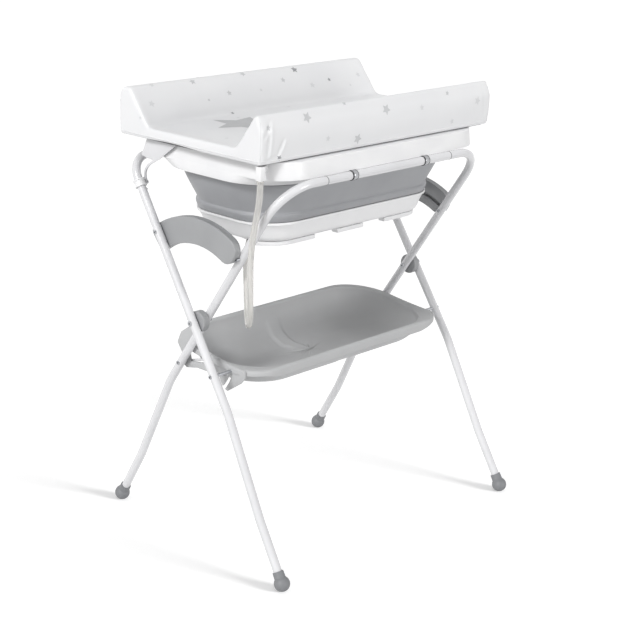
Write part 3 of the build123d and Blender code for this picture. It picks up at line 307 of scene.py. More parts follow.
# %% Finishes of the real parts
moulded_look = dict(grain=1600.0, wave=60.0, wave_share=0.25, bump=0.25, height=0.00015)
cover_look = dict(
    grain=1100.0, wave=55.0, wave_share=0.55, bump=0.22, height=0.0004, cloud=7.0,
    Coat_Weight=0.12, Coat_Roughness=0.25,
)
finishes = {
    "white_tube": finish(
        "white_powder_coat", (0.71, 0.71, 0.725), (0.67, 0.67, 0.685), (0.20, 0.28),
        grain=450.0, wave=90.0, wave_share=0.6, bump=0.12, height=0.0003,
        Coat_Weight=0.5, Coat_Roughness=0.08,
    ),
    "white_plastic": finish(
        "white_moulded_plastic", (0.84, 0.84, 0.845), (0.80, 0.80, 0.81), (0.42, 0.52),
        grain=700.0, wave=14.0, wave_share=0.75, bump=0.08, height=0.0004,
        Coat_Weight=0.15, Coat_Roughness=0.12,
    ),
    "grey_plastic": finish(
        "grey_moulded_plastic", (0.345, 0.350, 0.358), (0.318, 0.323, 0.331), (0.38, 0.50),
        **moulded_look,
    ),
    "tray_plastic": finish(
        "tray_plastic", (0.490, 0.494, 0.498), (0.460, 0.464, 0.470), (0.50, 0.62),
        grain=1300.0, wave=24.0, wave_share=0.45, bump=0.2, height=0.0002,
    ),
    # Dark plastic of the spring buttons; the same finish paints shade in the rail's gaps and the
    # rivets' holes.
    "dark_plastic": finish(
        "dark_button_and_painted_shade_plastic", (0.030, 0.031, 0.034), (0.045, 0.046, 0.05), (0.35, 0.5),
        grain=1500.0, wave=80.0, bump=0.2, height=0.00015,
    ),
    "bright_steel": finish(
        "bright_plate", (0.44, 0.445, 0.46), (0.34, 0.345, 0.36), (0.18, 0.28),
        grain=420.0, bump=0.10, height=0.00015, relief=brush_group, Metallic=1.0,
    ),
    "dull_steel": finish(
        "zinc_rivet", (0.50, 0.51, 0.53), (0.36, 0.37, 0.39), (0.28, 0.46),
        grain=380.0, bump=0.20, height=0.0002, relief=brush_group, Metallic=1.0,
    ),
    "grey_rubber": finish(
        "soft_wall_rubber", (0.325, 0.330, 0.345), (0.300, 0.305, 0.320), (0.42, 0.56),
        grain=2200.0, wave=30.0, wave_share=0.3, bump=0.22, height=0.00012, Sheen_Weight=0.12,
    ),
    "hose_rubber": finish(
        "translucent_hose", (0.80, 0.79, 0.765), (0.76, 0.75, 0.725), (0.16, 0.26),
        grain=900.0, wave=60.0, wave_share=0.5, bump=0.06, height=0.0002,
        Transmission_Weight=0.55, IOR=1.35,
    ),
    # The board's dark grey is painted shade: it stands in for the shadow gap under the mat's edge.
    "board": finish(
        "board_painted_shade", (0.115, 0.115, 0.122), (0.085, 0.085, 0.092), (0.45, 0.62),
        grain=700.0, wave=160.0, wave_share=0.5, bump=0.3, height=0.0003,
    ),
    "mat_cover": finish(
        "coated_cover", (0.795, 0.797, 0.805), (0.765, 0.768, 0.78), (0.30, 0.42),
        **cover_look, Sheen_Weight=0.05,
    ),
}
print("finishes", len(bpy.data.materials))

# %% [markdown]
# The solid parts keep their CAD shape. Their mesh comes in as loose facets, so a Weld joins them,
# a Bevel takes the razor off the hard edges as a mould or a press does, and an Edge Split keeps
# crisp edges crisp while the rest is shaded smooth. Modifiers leave the CAD mesh untouched.

# %% Dress the solid parts
bevel_widths = {
    "bath_rim": 1.2, "bath_base": 0.8, "tray": 0.9, "hose_clip": 0.8,
    "arc_cover_left": 0.3, "arc_cover_right": 0.3, "arc_guide_left": 0.8, "arc_guide_right": 0.8,
    "corner_bracket_left": 0.8, "corner_bracket_right": 0.8, "changer_board": 0.6,
    "leg_collar_left": 0.5, "leg_collar_right": 0.5, "rail_rings": 0.3, "drain_outlet": 0.4,
}
weld_distance = 0.01 * mm
smooth_angle, sharp_angle = radians(33), radians(50)


def dress(node_name, slot_name):
    """Gives a CAD node its finish, soft edges and smooth shading, without touching its vertices."""
    node = nodes[node_name]
    mesh = node.data
    custom = mesh.attributes.get("custom_normal")
    if custom is not None:
        mesh.attributes.remove(custom)
    mesh.polygons.foreach_set("use_smooth", [True] * len(mesh.polygons))
    mesh.materials.clear()
    mesh.materials.append(finishes[slot_name])
    weld = node.modifiers.new("weld", "WELD")
    weld.merge_threshold = weld_distance
    if node_name in bevel_widths:
        bevel = node.modifiers.new("bevel", "BEVEL")
        bevel.width = bevel_widths[node_name] * mm
        bevel.segments = 2
        bevel.limit_method = "ANGLE"
        bevel.angle_limit = sharp_angle
    split = node.modifiers.new("edge_split", "EDGE_SPLIT")
    split.split_angle = smooth_angle


for part in frame["record"]["subparts"]:
    dress(part["node"], part["material_slot"])

# %% [markdown]
# The four ball feet are rubber. They share the grey of the moulded plastic parts in the model's
# list of materials, but the real ones are darker, so they get a finish of their own afterwards.

# %% Feet
foot_names = ("back_foot_left", "back_foot_right", "front_foot_left", "front_foot_right")
foot_finish = finish(
    "foot_rubber", (0.215, 0.220, 0.230), (0.195, 0.200, 0.210), (0.45, 0.58), **moulded_look,
)
for name in foot_names:
    nodes[name].data.materials.clear()
    nodes[name].data.materials.append(foot_finish)
print("feet", len(foot_names))

# %% [markdown]
# The drain hose hangs from the clip at the rim, turns under the bath and rises to the drain. A
# hose is bendy but has one fixed length, so it is one smooth spline through given control
# points, not a chain of bent bars. A NURBS curve of order 3 rounds the corners by itself. It is
# turned into a tube mesh.

# %% A tube along a path
def tube_along(name, points, radius, sides):
    """A closed round tube that follows points, with a ring of vertices across each of them."""
    rings = []
    side = None
    for index, point in enumerate(points):
        before = points[max(index - 1, 0)]
        after = points[min(index + 1, len(points) - 1)]
        direction = (Vector(after) - Vector(before)).normalized()
        if side is None:
            side = direction.orthogonal().normalized()
        side = (side - direction * side.dot(direction)).normalized()
        over = direction.cross(side)
        ring = []
        for step in range(sides):
            angle = 2 * pi * step / sides
            ring.append(Vector(point) + (side * cos(angle) + over * sin(angle)) * radius)
        rings.append(ring)
    return skin(name, rings)

# %% Path of the drain hose
hose_diameter = 13.0 * mm
hose_points = [
    (-350.0, -191.5, 867.0),
    (-350.0, -191.5, 841.0),
    (-350.0, -186.0, 807.0),
    (-350.0, -175.0, 765.0),
    (-350.0, -166.5, 719.0),
    (-350.0, -164.0, 671.0),
    (-350.0, -164.8, 623.0),
    (-350.0, -165.5, 570.0),
    (-333.3, -144.0, 543.3),
    (-309.7, -114.5, 543.3),
    (-293.0, -93.5, 570.0),
    (-291.0, -90.0, 613.0),
    (-281.0, -77.0, 650.0),
    (-262.0, -57.0, 677.0),
    (-237.6, -38.9, 690.4),
]


def hose_line():
    """Points along the hose's NURBS spline, close together."""
    curve = bpy.data.curves.new("hose_line", "CURVE")
    curve.dimensions = "3D"
    spline = curve.splines.new("NURBS")
    spline.points.add(len(hose_points) - 1)
    for point, place in zip(spline.points, hose_points):
        point.co = (*[value * mm for value in place], 1.0)
    spline.order_u = 3
    spline.use_endpoint_u = True
    spline.resolution_u = 10
    holder = bpy.data.objects.new("hose_line", curve)
    bpy.context.scene.collection.objects.link(holder)
    graph = bpy.context.evaluated_depsgraph_get()
    line = bpy.data.meshes.new_from_object(holder.evaluated_get(graph))
    points = [vertex.co.copy() for vertex in line.vertices]
    bpy.data.objects.remove(holder)
    bpy.data.meshes.remove(line)
    return points


hose_path = hose_line()
print("hose path has", len(hose_path), "points")

# %% Drain hose
hose = tube_along("hose", hose_path, hose_diameter / 2, sides=24)
hose.data.materials.append(finishes["hose_rubber"])

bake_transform(hose)
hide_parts("drain_hose")

# %% [markdown]
# The hose ends in a short round cuff under its clip. A round piece is easiest to describe by its
# profile, as a turner would: pairs of a distance along the axis and a radius. The function that
# turns such a profile also makes the dark bands of painted shade at the rail and in the rivets'
# holes further down.

# %% Turned pieces
def lathe(name, profile, centre, axis, sides=40):
    """A piece turned about an axis through a centre, from (distance along, radius) pairs."""
    axis = Vector(axis).normalized()
    side = axis.orthogonal().normalized()
    over = axis.cross(side)
    rings = []
    for along, radius in profile:
        middle = Vector(centre) + axis * along
        ring = []
        for step in range(sides):
            angle = 2 * pi * step / sides
            ring.append(middle + (side * cos(angle) + over * sin(angle)) * radius)
        rings.append(ring)
    return skin(name, rings, closed=True)

# %% Cuff at the hose's top
cuff_length, cuff_chamfer = 5.0 * mm, 0.4 * mm
cuff_radius, cuff_end_radius = 7.6 * mm, 6.6 * mm
cuff_place = Vector(hose_path[0])
cuff = lathe(
    "hose_cuff",
    [(0.0, cuff_end_radius), (cuff_chamfer, cuff_radius),
     (cuff_length - cuff_chamfer, cuff_radius), (cuff_length, cuff_end_radius)],
    cuff_place - Vector((0, 0, cuff_length)), (0, 0, 1),
)
cuff.data.materials.append(finishes["hose_rubber"])
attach(cuff, "bath_shell")
print("cuff at", [round(v, 3) for v in cuff_place])

# %% [markdown]
# The bath's grey wall is a soft sleeve that folds flat. It tapers to a fold, swells out over it
# and runs down to the rigid floor. A simulation would only soften that fold, so the wall is a
# skin over rings whose size follows the moulded profile. It stretches between the shell and the
# floor.

# %% Rounded rectangles
def outline(half_length, half_depth, corner, height, corner_steps, side_steps):
    """Points of a rounded rectangle at a height, anticlockwise from its front right corner."""
    points = []
    a, b = half_length - corner, half_depth - corner
    centres = ((a, -b, -90), (a, b, 0), (-a, b, 90), (-a, -b, 180))
    for index, (x, y, start) in enumerate(centres):
        for step in range(corner_steps + 1):
            angle = radians(start + 90 * step / corner_steps)
            points.append(Vector((x + corner * cos(angle), y + corner * sin(angle), height)))
        next_x, next_y, next_start = centres[(index + 1) % 4]
        angle = radians(next_start)
        target = Vector((next_x + corner * cos(angle), next_y + corner * sin(angle), height))
        first = points[-1].copy()
        for step in range(1, side_steps):
            points.append(first.lerp(target, step / side_steps))
    return points

# %% Folding bath wall
wall_thickness = 2.6 * mm
# Height, half length, half depth and corner radius of each ring, from the floor up, in mm.
wall_profile = (
    (747.8, 279.6, 137.6, 93.0),
    (750.0, 280.8, 139.0, 95.0),
    (754.0, 283.6, 142.0, 101.0),
    (758.0, 286.2, 145.0, 107.0),
    (762.0, 287.6, 147.0, 111.0),
    (765.0, 287.8, 147.6, 113.0),
    (767.0, 286.6, 146.8, 113.0),
    (768.5, 285.4, 145.8, 113.0),
    (770.0, 285.6, 146.0, 114.0),
    (775.0, 287.8, 148.4, 116.0),
    (790.0, 294.6, 155.4, 120.0),
    (810.0, 303.4, 164.0, 124.0),
    (825.0, 309.0, 170.3, 127.0),
    (833.0, 311.0, 172.8, 129.0),
    (839.5, 311.8, 173.8, 130.0),
)


def wall_rings(inset):
    """The rings of the wall's profile, drawn in by an inset."""
    rings = []
    for height, half_length, half_depth, corner in wall_profile:
        sizes = [value * mm - inset for value in (half_length, half_depth, corner)]
        rings.append(outline(*sizes, height * mm, corner_steps=18, side_steps=16))
    return rings


wall = skin("folding_wall", wall_rings(0.0) + wall_rings(wall_thickness)[::-1], closed=True)
wall.data.materials.append(finishes["grey_rubber"])
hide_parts("bath_wall")
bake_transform(wall)
print("wall", len(wall.data.vertices), "vertices")

# %% [markdown]
# The storage tray is one vacuum-formed or injected shell: a rolled rim that climbs to the back, a
# skirt below it, and a bowl whose walls run into the floor without an edge. A modelling program's
# solid shows hard lines where these meet, so the shell is drawn again as a single skin of rings.
# Each ring is the rounded outline, drawn in by an inset, at a height that follows the rim.

# %% Blends between two values
def between(low, high, share):
    """The value at a share of the way from low to high."""
    return low + (high - low) * share


def smooth_step(value):
    """0 below 0, 1 above 1 and an even curve between them."""
    value = min(max(value, 0.0), 1.0)
    return value * value * (3 - 2 * value)

# %% Heights and insets of the tray
tray_low, tray_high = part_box("tray")
tray_half_length = 316.0 * mm
tray_front, tray_back = tray_low.y, tray_high.y
tray_middle = (tray_front + tray_back) / 2
tray_half_depth = (tray_back - tray_front) / 2
tray_front_corner, tray_back_corner = 62.0 * mm, 108.0 * mm
tray_web, tray_end_lip = 44.0 * mm, 6.0 * mm
tray_floor = tray_low.z
tray_skin = 3.0 * mm
least_straight = 6.0 * mm
# Heights in front, in the middle and at the back.
rim_heights = (429.5 * mm, 439.5 * mm, 459.0 * mm)
skirt_heights = (406.0 * mm, 409.0 * mm, 419.0 * mm)
# The skirt's edge climbs towards the front corners over a length that starts near the end.
corner_climb, climb_start, climb_length = 10.0 * mm, 28.0 * mm, 62.0 * mm
# The window for the wire: its place and half width in depth, its soft edge, its reach and its top.
window_middle, window_half, window_edge = 9.0 * mm, 60.0 * mm, 9.0 * mm
window_reach, window_below_rim = 22.0 * mm, 16.0 * mm


def along_depth(front, middle, back, y):
    """A smooth height over the tray's depth from its values in front, in the middle and behind."""
    place = (y - tray_middle) / tray_half_depth
    return middle + (back - front) / 2 * place + ((front + back) / 2 - middle) * place**2


def rim_height(y):
    """Top of the rolled rim at a depth."""
    return along_depth(*rim_heights, y)


def skirt_height(place):
    """Lower edge of the skirt: higher at the front corners, and cut away for the wire."""
    height = along_depth(*skirt_heights, place.y)
    from_end = tray_half_length - abs(place.x)
    if place.y < tray_middle:
        height += corner_climb * (1 - smooth_step((from_end - climb_start) / climb_length))
    if from_end < window_reach:
        from_window = abs(place.y - window_middle) - window_half
        window = 1 - smooth_step(from_window / window_edge)
        height = between(height, rim_height(place.y) - window_below_rim, window)
    return height


def lip_height(place):
    """The rim's height at a place, so that rings can follow either the rim or the skirt."""
    return rim_height(place.y)


print("rim from", round(rim_height(tray_front), 4), "to", round(rim_height(tray_back), 4))

# %% The tray's outline in plan
tray_corner_steps, tray_long_steps, tray_end_steps = 16, 70, 16


def corner_centre(x, y, radius):
    """Middle of a corner's arc; x and y say where the sharp corner would stand."""
    return Vector((x - copysign(radius, x), tray_middle + y - copysign(radius, y), 0))


def tray_ring(inset, web=0.0):
    """The outline, drawn in by an inset; the web widens the lip at the front corners."""
    front_corner = tray_front_corner - inset * 0.4 + web * tray_web
    back_corner = tray_back_corner - inset * 0.4
    a, b = tray_half_length - inset - web * tray_end_lip, tray_half_depth - inset
    front_corner = min(front_corner, b - least_straight)
    back_corner = min(back_corner, b - least_straight)
    points = []
    corners = (
        (a, -b, front_corner, -90), (a, b, back_corner, 0),
        (-a, b, back_corner, 90), (-a, -b, front_corner, 180),
    )
    for index, (x, y, radius, start) in enumerate(corners):
        centre = corner_centre(x, y, radius)
        for step in range(tray_corner_steps + 1):
            angle = radians(start + 90 * step / tray_corner_steps)
            points.append(centre + Vector((cos(angle), sin(angle), 0)) * radius)
        after_x, after_y, after_radius, after_start = corners[(index + 1) % 4]
        angle = radians(after_start)
        after_centre = corner_centre(after_x, after_y, after_radius)
        target = after_centre + Vector((cos(angle), sin(angle), 0)) * after_radius
        first = points[-1].copy()
        side_steps = tray_long_steps if index % 2 else tray_end_steps
        for step in range(1, side_steps):
            points.append(first.lerp(target, step / side_steps))
    return points


rim_ring = tray_ring(0.0)
print("tray ring", len(rim_ring), "points")

# %% [markdown]
# The ridge across the bowl stiffens the floor. It is a low, broad band from front to back. In the
# skin it is only a height added near the band's middle, which a sheet pressed over a bar would
# show too. The rings need many points on their long sides for it to come out smooth.

# %% Ridge and bowl of the tray
ridge_half_width, ridge_edge, ridge_height = 17.0 * mm, 4.5 * mm, 4.5 * mm
ridge_x = -2.0 * mm
# The ridge dies out in the bowl's wall, between these two heights above the floor.
fade_low, fade_length = 44.0 * mm, 12.0 * mm
wall_inset, floor_inset = 12.0 * mm, 77.0 * mm
lip_drop = 4.0 * mm
bowl_slope = 0.55
bowl_steps = 18
floor_shares = (0.88, 0.7, 0.5, 0.3, 0.12)


def ridge_rise(x, height):
    """Height of the ridge at a place on the bowl, fading out below the rim."""
    across = 1 - smooth_step((abs(x - ridge_x) - ridge_half_width) / ridge_edge)
    fade = 1 - smooth_step((height - tray_floor - fade_low) / fade_length)
    return ridge_height * across * fade


def bowl_rings(skin_drop, ridge_share):
    """Rings from under the rim down the bowl's wall and in over its floor."""
    rings = []
    for step in range(bowl_steps + 1):
        share = step / bowl_steps
        # A gentle slope and a tight turn into the floor, mixed, give the wall its hollow.
        draw = bowl_slope * share**2 + (1 - bowl_slope) * share**10
        ring = []
        places = tray_ring(between(wall_inset, floor_inset, draw) - skin_drop, 1.0)
        for place, rim_place in zip(places, rim_ring):
            top = rim_height(rim_place.y) - lip_drop
            height = between(top, tray_floor + tray_skin, share) - skin_drop
            rise = ridge_rise(place.x, height) * ridge_share
            ring.append(Vector((place.x, place.y, height + rise)))
        rings.append(ring)
    for share in floor_shares:
        height = tray_floor + tray_skin - skin_drop
        ring = []
        for place in rings[bowl_steps]:
            x, y = place.x * share, tray_middle + (place.y - tray_middle) * share
            ring.append(Vector((x, y, height + ridge_rise(x, height) * ridge_share)))
        rings.append(ring)
    return rings


print("bowl has", len(bowl_rings(0.0, 1.0)), "rings")

# %% Rim of the tray and the whole shell
def rim_rings():
    """Rings from the inside of the skirt, round its lower edge, up it and over the rolled rim."""
    rings = []
    # Inset, web, what the height follows, and the step from it; lengths in mm.
    for inset, web, height_of, step in (
        (6.0, 0.0, lip_height, -7.0), (3.4, 0.0, lip_height, -9.0), (3.2, 0.0, skirt_height, 1.5),
        (2.4, 0.0, skirt_height, 0.2), (1.2, 0.0, skirt_height, 0.0), (0.3, 0.0, skirt_height, 1.0),
        (0.0, 0.0, skirt_height, 3.0), (0.0, 0.0, lip_height, -6.0), (0.3, 0.0, lip_height, -4.4),
        (1.4, 0.02, lip_height, -1.9), (3.2, 0.12, lip_height, -0.5), (5.4, 0.35, lip_height, 0.0),
        (7.6, 0.65, lip_height, -0.3), (9.6, 0.85, lip_height, -1.3),
        (11.2, 0.97, lip_height, -2.6),
    ):
        ring = []
        for place, rim_place in zip(tray_ring(inset * mm, web), rim_ring):
            ring.append(Vector((place.x, place.y, height_of(rim_place) + step * mm)))
        rings.append(ring)
    return rings


under_skin, under_ridge_share = 2.0 * mm, 0.2
under = bowl_rings(under_skin, under_ridge_share)[::-1]
tray_shell = skin("tray_shell", under + rim_rings() + bowl_rings(0.0, 1.0))
tray_shell.data.materials.append(finishes["tray_plastic"])
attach(tray_shell, "storage_tray")
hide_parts("tray")
print("tray shell", len(tray_shell.data.vertices), "vertices")

# %% [markdown]
# Each end of the tray has an ear: a flat plate with a boss on the rear pivot, a lobe above it and
# a hook in front that drops over a pin. It is a plate cut to an outline, so its outline in Y and Z
# is all that is needed. Extruding it and bevelling its edges gives the moulded look.

# %% Tray ears
ear_outline = [
    (44.3, 396.0), (81.0, 387.7), (93.2, 394.6), (94.6, 400.1), (96.8, 420.0),
    (111.2, 439.4), (111.7, 442.2), (99.8, 467.3), (67.4, 490.0), (64.6, 490.8),
    (62.2, 489.2), (51.2, 479.4), (50.3, 477.2), (62.0, 444.0), (69.9, 420.3),
    (66.9, 408.4), (65.0, 406.4), (10.7, 415.9), (8.3, 415.4), (-19.6, 404.2),
    (-44.6, 402.0), (-46.9, 402.8), (-54.3, 409.5), (-55.1, 411.8), (-56.6, 429.3),
    (-57.4, 432.0), (-59.2, 432.9), (-107.0, 429.8), (-109.7, 428.8), (-110.3, 426.0),
    (-110.3, 414.6), (-109.4, 412.0), (-96.4, 397.2), (-56.8, 370.7), (-54.6, 369.4),
    (-47.4, 371.3), (-46.3, 372.4), (-51.2, 378.2), (-57.1, 386.3), (-62.2, 394.9),
    (-66.7, 403.9), (-69.6, 410.8), (-72.1, 417.9), (-72.5, 420.3), (-71.7, 422.6),
    (-69.6, 424.1), (-67.2, 424.2), (-65.1, 422.9), (-64.0, 420.6), (-61.5, 413.6),
    (-57.5, 404.4), (-52.7, 395.5), (-47.2, 387.2), (-41.0, 379.3), (-39.3, 377.4),
    (-37.8, 377.8), (-27.5, 395.0), (-25.9, 396.8), (-23.4, 397.0),
]
ear_plane, ear_thickness, ear_edge = 308.7 * mm, 4.5 * mm, 0.8 * mm
right_ear_top, right_ear_slope = 440.0, 0.01


plate_smooth_angle = radians(30)


def plate(name, points, x_start, x_end, edge):
    """A plate cut to an outline in Y and Z, between two values of X, with softened edges."""
    count = len(points)
    vertices = [(x, y * mm, z * mm) for x in (x_start, x_end) for y, z in points]
    faces = [tuple(range(count - 1, -1, -1)), tuple(range(count, 2 * count))]
    for i in range(count):
        j = (i + 1) % count
        faces.append((i, j, count + j, count + i))
    piece = new_piece(name, vertices, faces)
    tidy = bmesh.new()
    tidy.from_mesh(piece.data)
    bmesh.ops.recalc_face_normals(tidy, faces=tidy.faces)
    tidy.to_mesh(piece.data)
    tidy.free()
    bevel = piece.modifiers.new("bevel", "BEVEL")
    bevel.width = edge
    bevel.segments = 2
    bevel.limit_method = "ANGLE"
    bevel.angle_limit = sharp_angle
    split = piece.modifiers.new("edge_split", "EDGE_SPLIT")
    split.split_angle = plate_smooth_angle
    return piece


for side, side_name in ((-1, "left"), (1, "right")):
    ear_points = ear_outline
    if side > 0:
        # The right ear's lobe stays below the rim.
        ear_points = [(y, min(z, right_ear_top + right_ear_slope * abs(y))) for y, z in ear_outline]
    ear = plate(
        "tray_ear_" + side_name, ear_points,
        side * ear_plane, side * (ear_plane + ear_thickness), ear_edge,
    )
    ear.data.materials.append(finishes["tray_plastic"])
    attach(ear, "storage_tray")
print("ears at", round(ear_plane, 4))

# %% [markdown]
# The changing mat is a foam core in a welded plastic cover: a flat pad with a low bolster in front
# and a thick one behind. Its plain form comes from the CAD profile. Cloth simulation with a little
# pressure inside then swells the cover between its welds. A voxel remesh first gives it an even
# net of small faces, because cloth needs vertices everywhere, not only at the corners.

# %% Sizes of the mat
mat_low, mat_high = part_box("changer_mat")
# The plain form is drawn in by the crown, because the cloth swells it out again.
mat_crown, mat_draw = 3.0 * mm, 0.8 * mm
mat_front, mat_back = mat_low.y + mat_crown, mat_high.y - mat_crown
mat_end = mat_high.x + mat_draw
mat_bottom, mat_top = mat_low.z + 0.5 * mm, mat_high.z + 2.0 * mm
back_top = mat_high.z + 6.5 * mm
pad_top = 925.0 * mm
front_bolster_width, front_bolster_foot = 16.0 * mm, 76.0 * mm
back_bolster_width, back_bolster_foot = 36.0 * mm, 98.0 * mm
print("mat from", round(mat_bottom, 4), "to", round(back_top, 4))

# %% Cross-section of the mat
def rounded_path(corners, steps=6):
    """Points of a closed outline whose corners, given as (y, z, radius), are rounded."""
    points = []
    count = len(corners)
    for index, (y, z, radius) in enumerate(corners):
        here = Vector((y, z))
        before = Vector(corners[index - 1][:2]) - here
        after = Vector(corners[(index + 1) % count][:2]) - here
        if radius == 0:
            points.append(here)
            continue
        half = before.angle(after) / 2
        reach = radius / tan(half)
        before.normalize()
        after.normalize()
        start, end = here + before * reach, here + after * reach
        middle = here + (before + after).normalized() * (radius / sin(half))
        first, last = start - middle, end - middle
        for step in range(steps + 1):
            way = first.lerp(last, step / steps).normalized() * radius
            points.append(middle + way)
    return points


def mat_outline():
    """Cross-section of the mat in Y and Z, from the front's lower edge over the top to the back."""
    return rounded_path([
        (mat_front + 1 * mm, mat_bottom, 0),
        (mat_front - 2 * mm, mat_bottom + 70 * mm, 14 * mm),
        (mat_front + 11 * mm, mat_top, 4 * mm),
        (mat_front + front_bolster_width + 3 * mm, mat_top, 4 * mm),
        (mat_front + front_bolster_foot, pad_top, 16 * mm),
        (mat_back - back_bolster_foot, pad_top, 16 * mm),
        (mat_back - back_bolster_width, back_top, 10 * mm),
        (mat_back, back_top, 24 * mm),
        (mat_back, mat_bottom, 0),
    ])


mat_rings = [
    [Vector((side * mat_end, point.x, point.y)) for point in mat_outline()] for side in (-1, 1)
]
mat = skin("changing_mat", mat_rings)
print("mat outline has", len(mat_rings[0]), "points")

# %% An even net for the mat
voxel = 6.0 * mm


def apply_modifiers(piece):
    """Keeps the shape that the modifiers give as the piece's own mesh."""
    graph = bpy.context.evaluated_depsgraph_get()
    shaped = bpy.data.meshes.new_from_object(piece.evaluated_get(graph))
    piece.modifiers.clear()
    old = piece.data
    piece.data = shaped
    bpy.data.meshes.remove(old)
    shaped.polygons.foreach_set("use_smooth", [True] * len(shaped.polygons))


remesh = mat.modifiers.new("remesh", "REMESH")
remesh.mode = "VOXEL"
remesh.voxel_size = voxel
apply_modifiers(mat)
print("mat net", len(mat.data.vertices), "vertices")

# %% [markdown]
# The cover is inflated like a cushion: pressure pushes it out, its stiffness holds it, and a
# vertex group says where it is held. A dozen frames are enough for the shape to settle. How far a
# vertex may move is capped, so the mat keeps its measured size.

# %% Swelling by cloth simulation
puff_frames = 12
puff_cap = 4.0 * mm
held_below, held_end, slack_rim = 4.0 * mm, 26.0 * mm, 8.0 * mm
held_top = 3.0 * mm


def puff(piece, frames, cap, held):
    """Swells a closed piece by cloth simulation; held says how firmly a vertex stays."""
    start = [vertex.co.copy() for vertex in piece.data.vertices]
    group = piece.vertex_groups.new(name="held")
    for index, place in enumerate(start):
        weight = held(place)
        if weight > 0:
            group.add([index], weight, "REPLACE")
    cloth = piece.modifiers.new("cloth", "CLOTH")
    settings = cloth.settings
    settings.vertex_group_mass = "held"
    settings.quality = 5
    settings.mass = 0.3
    settings.tension_stiffness = 60
    settings.compression_stiffness = 60
    settings.shear_stiffness = 30
    settings.bending_stiffness = 8.0
    settings.use_pressure = True
    settings.uniform_pressure_force = 1.6
    settings.effector_weights.gravity = 0.0
    cloth.collision_settings.use_collision = False
    cloth.point_cache.frame_start, cloth.point_cache.frame_end = 1, frames
    scene = bpy.context.scene
    for step in range(1, frames + 1):
        scene.frame_set(step)
    apply_modifiers(piece)
    for vertex, place in zip(piece.data.vertices, start):
        move = vertex.co - place
        if move.length > cap:
            move *= cap / move.length
        vertex.co = place + move
    scene.frame_set(1)


def mat_hold(place):
    """The underside lies on the board, the ends give little, and so do the bolsters' tops."""
    if place.z < mat_bottom + held_below:
        return 1.0
    end_gap = mat_end - abs(place.x)
    side_gap = min(place.y - mat_front, mat_back - place.y)
    if end_gap < held_end:
        return 0.9
    return 0.6 if side_gap > slack_rim and place.z > mat_top - held_top else 0.0


puff(mat, puff_frames, puff_cap, mat_hold)
smooth = mat.modifiers.new("smooth", "SMOOTH")
smooth.factor = 0.5
smooth.iterations = 2
apply_modifiers(mat)
print("mat after cloth", [round(v, 4) for v in mat.dimensions])

# %% [markdown]
# Where the cover is welded at its upright corners, the surplus gathers into a few slanting
# creases. They are too small for the simulation's net, so they are pressed in afterwards: a
# crease is a line on the surface, and each vertex near it sinks by a smooth amount. The right
# corner's are fainter. The middle of each end is also lifted a little off the board.

# %% Creases at the front corners
# Start and end of each crease, as distances in metres from the corner and above the bottom, and
# its depth in millimetres.
crease_lines = [
    (0.020, 0.008, 0.025, 0.078, 2.2),
    (0.043, 0.006, 0.066, 0.052, 1.7),
    (0.006, 0.004, 0.044, 0.015, 2.0),
    (0.008, 0.050, 0.034, 0.092, 1.4),
]
crease_width = 7.0 * mm
crease_reach = 6.0 * mm
left_strength, right_strength = 1.0, 0.35
swell_share = 0.6


def crease_depth(along, rise):
    """How far the cover sinks or swells at a distance from the corner and above the bottom."""
    depth = 0.0
    for start_x, start_z, end_x, end_z, deep in crease_lines:
        line_x, line_z = end_x - start_x, end_z - start_z
        length = hypot(line_x, line_z)
        share = ((along - start_x) * line_x + (rise - start_z) * line_z) / length**2
        gap = ((along - start_x) * line_z - (rise - start_z) * line_x) / length
        if 0 < share < 1:
            fade = sin(pi * share) ** 0.7
            fold = 1 - smooth_step(abs(gap) / crease_width)
            swell = 1 - smooth_step(abs(gap - crease_width) / crease_width)
            depth += deep * mm * fade * (fold - swell_share * swell)
    return depth


subdivide = mat.modifiers.new("finer", "SUBSURF")
subdivide.levels = subdivide.render_levels = 1
apply_modifiers(mat)
creased = 0
for vertex in mat.data.vertices:
    if vertex.co.y < mat_front + crease_reach:
        strength = left_strength if vertex.co.x < 0 else right_strength
        depth = crease_depth(mat_end - abs(vertex.co.x), vertex.co.z - mat_bottom)
        vertex.co.y += strength * depth
        creased += depth > 0
print("creased vertices", creased)

# %% Lifted ends
end_lift, lift_start, lift_length = 3.0 * mm, 6.0 * mm, 30.0 * mm
lift_height, lift_y, lift_half_depth = 16.0 * mm, 70.0 * mm, 110.0 * mm
for vertex in mat.data.vertices:
    vertex.co.z = max(vertex.co.z, mat_low.z)
    end_share = 1 - smooth_step((mat_end - abs(vertex.co.x) - lift_start) / lift_length)
    low_share = 1 - smooth_step((vertex.co.z - mat_bottom) / lift_height)
    middle_share = 1 - smooth_step(abs(vertex.co.y - lift_y) / lift_half_depth)
    vertex.co.z += end_lift * end_share * low_share * middle_share
print("ends lifted by", end_lift)

# %% [markdown]
# The flat between the bolsters is a slightly cooler white than the cover. A material is given per
# face, so the faces that lie in a rounded rectangle and look up simply take the second material.

# %% Panel of the mat
panel_end_gap = 26.0 * mm
panel_front = mat_front + front_bolster_foot + 2 * mm
panel_back = mat_back - back_bolster_foot - 4 * mm
panel_corner = 16.0 * mm
panel_above = 18.0 * mm


def in_panel(place):
    """True on the flat between the bolsters, inside a rounded rectangle."""
    if place.z < mat_bottom + panel_above:
        return False
    half_length = mat_end - panel_end_gap
    middle, half_depth = (panel_front + panel_back) / 2, (panel_back - panel_front) / 2
    over_x = max(abs(place.x) - half_length + panel_corner, 0)
    over_y = max(abs(place.y - middle) - half_depth + panel_corner, 0)
    return hypot(over_x, over_y) < panel_corner


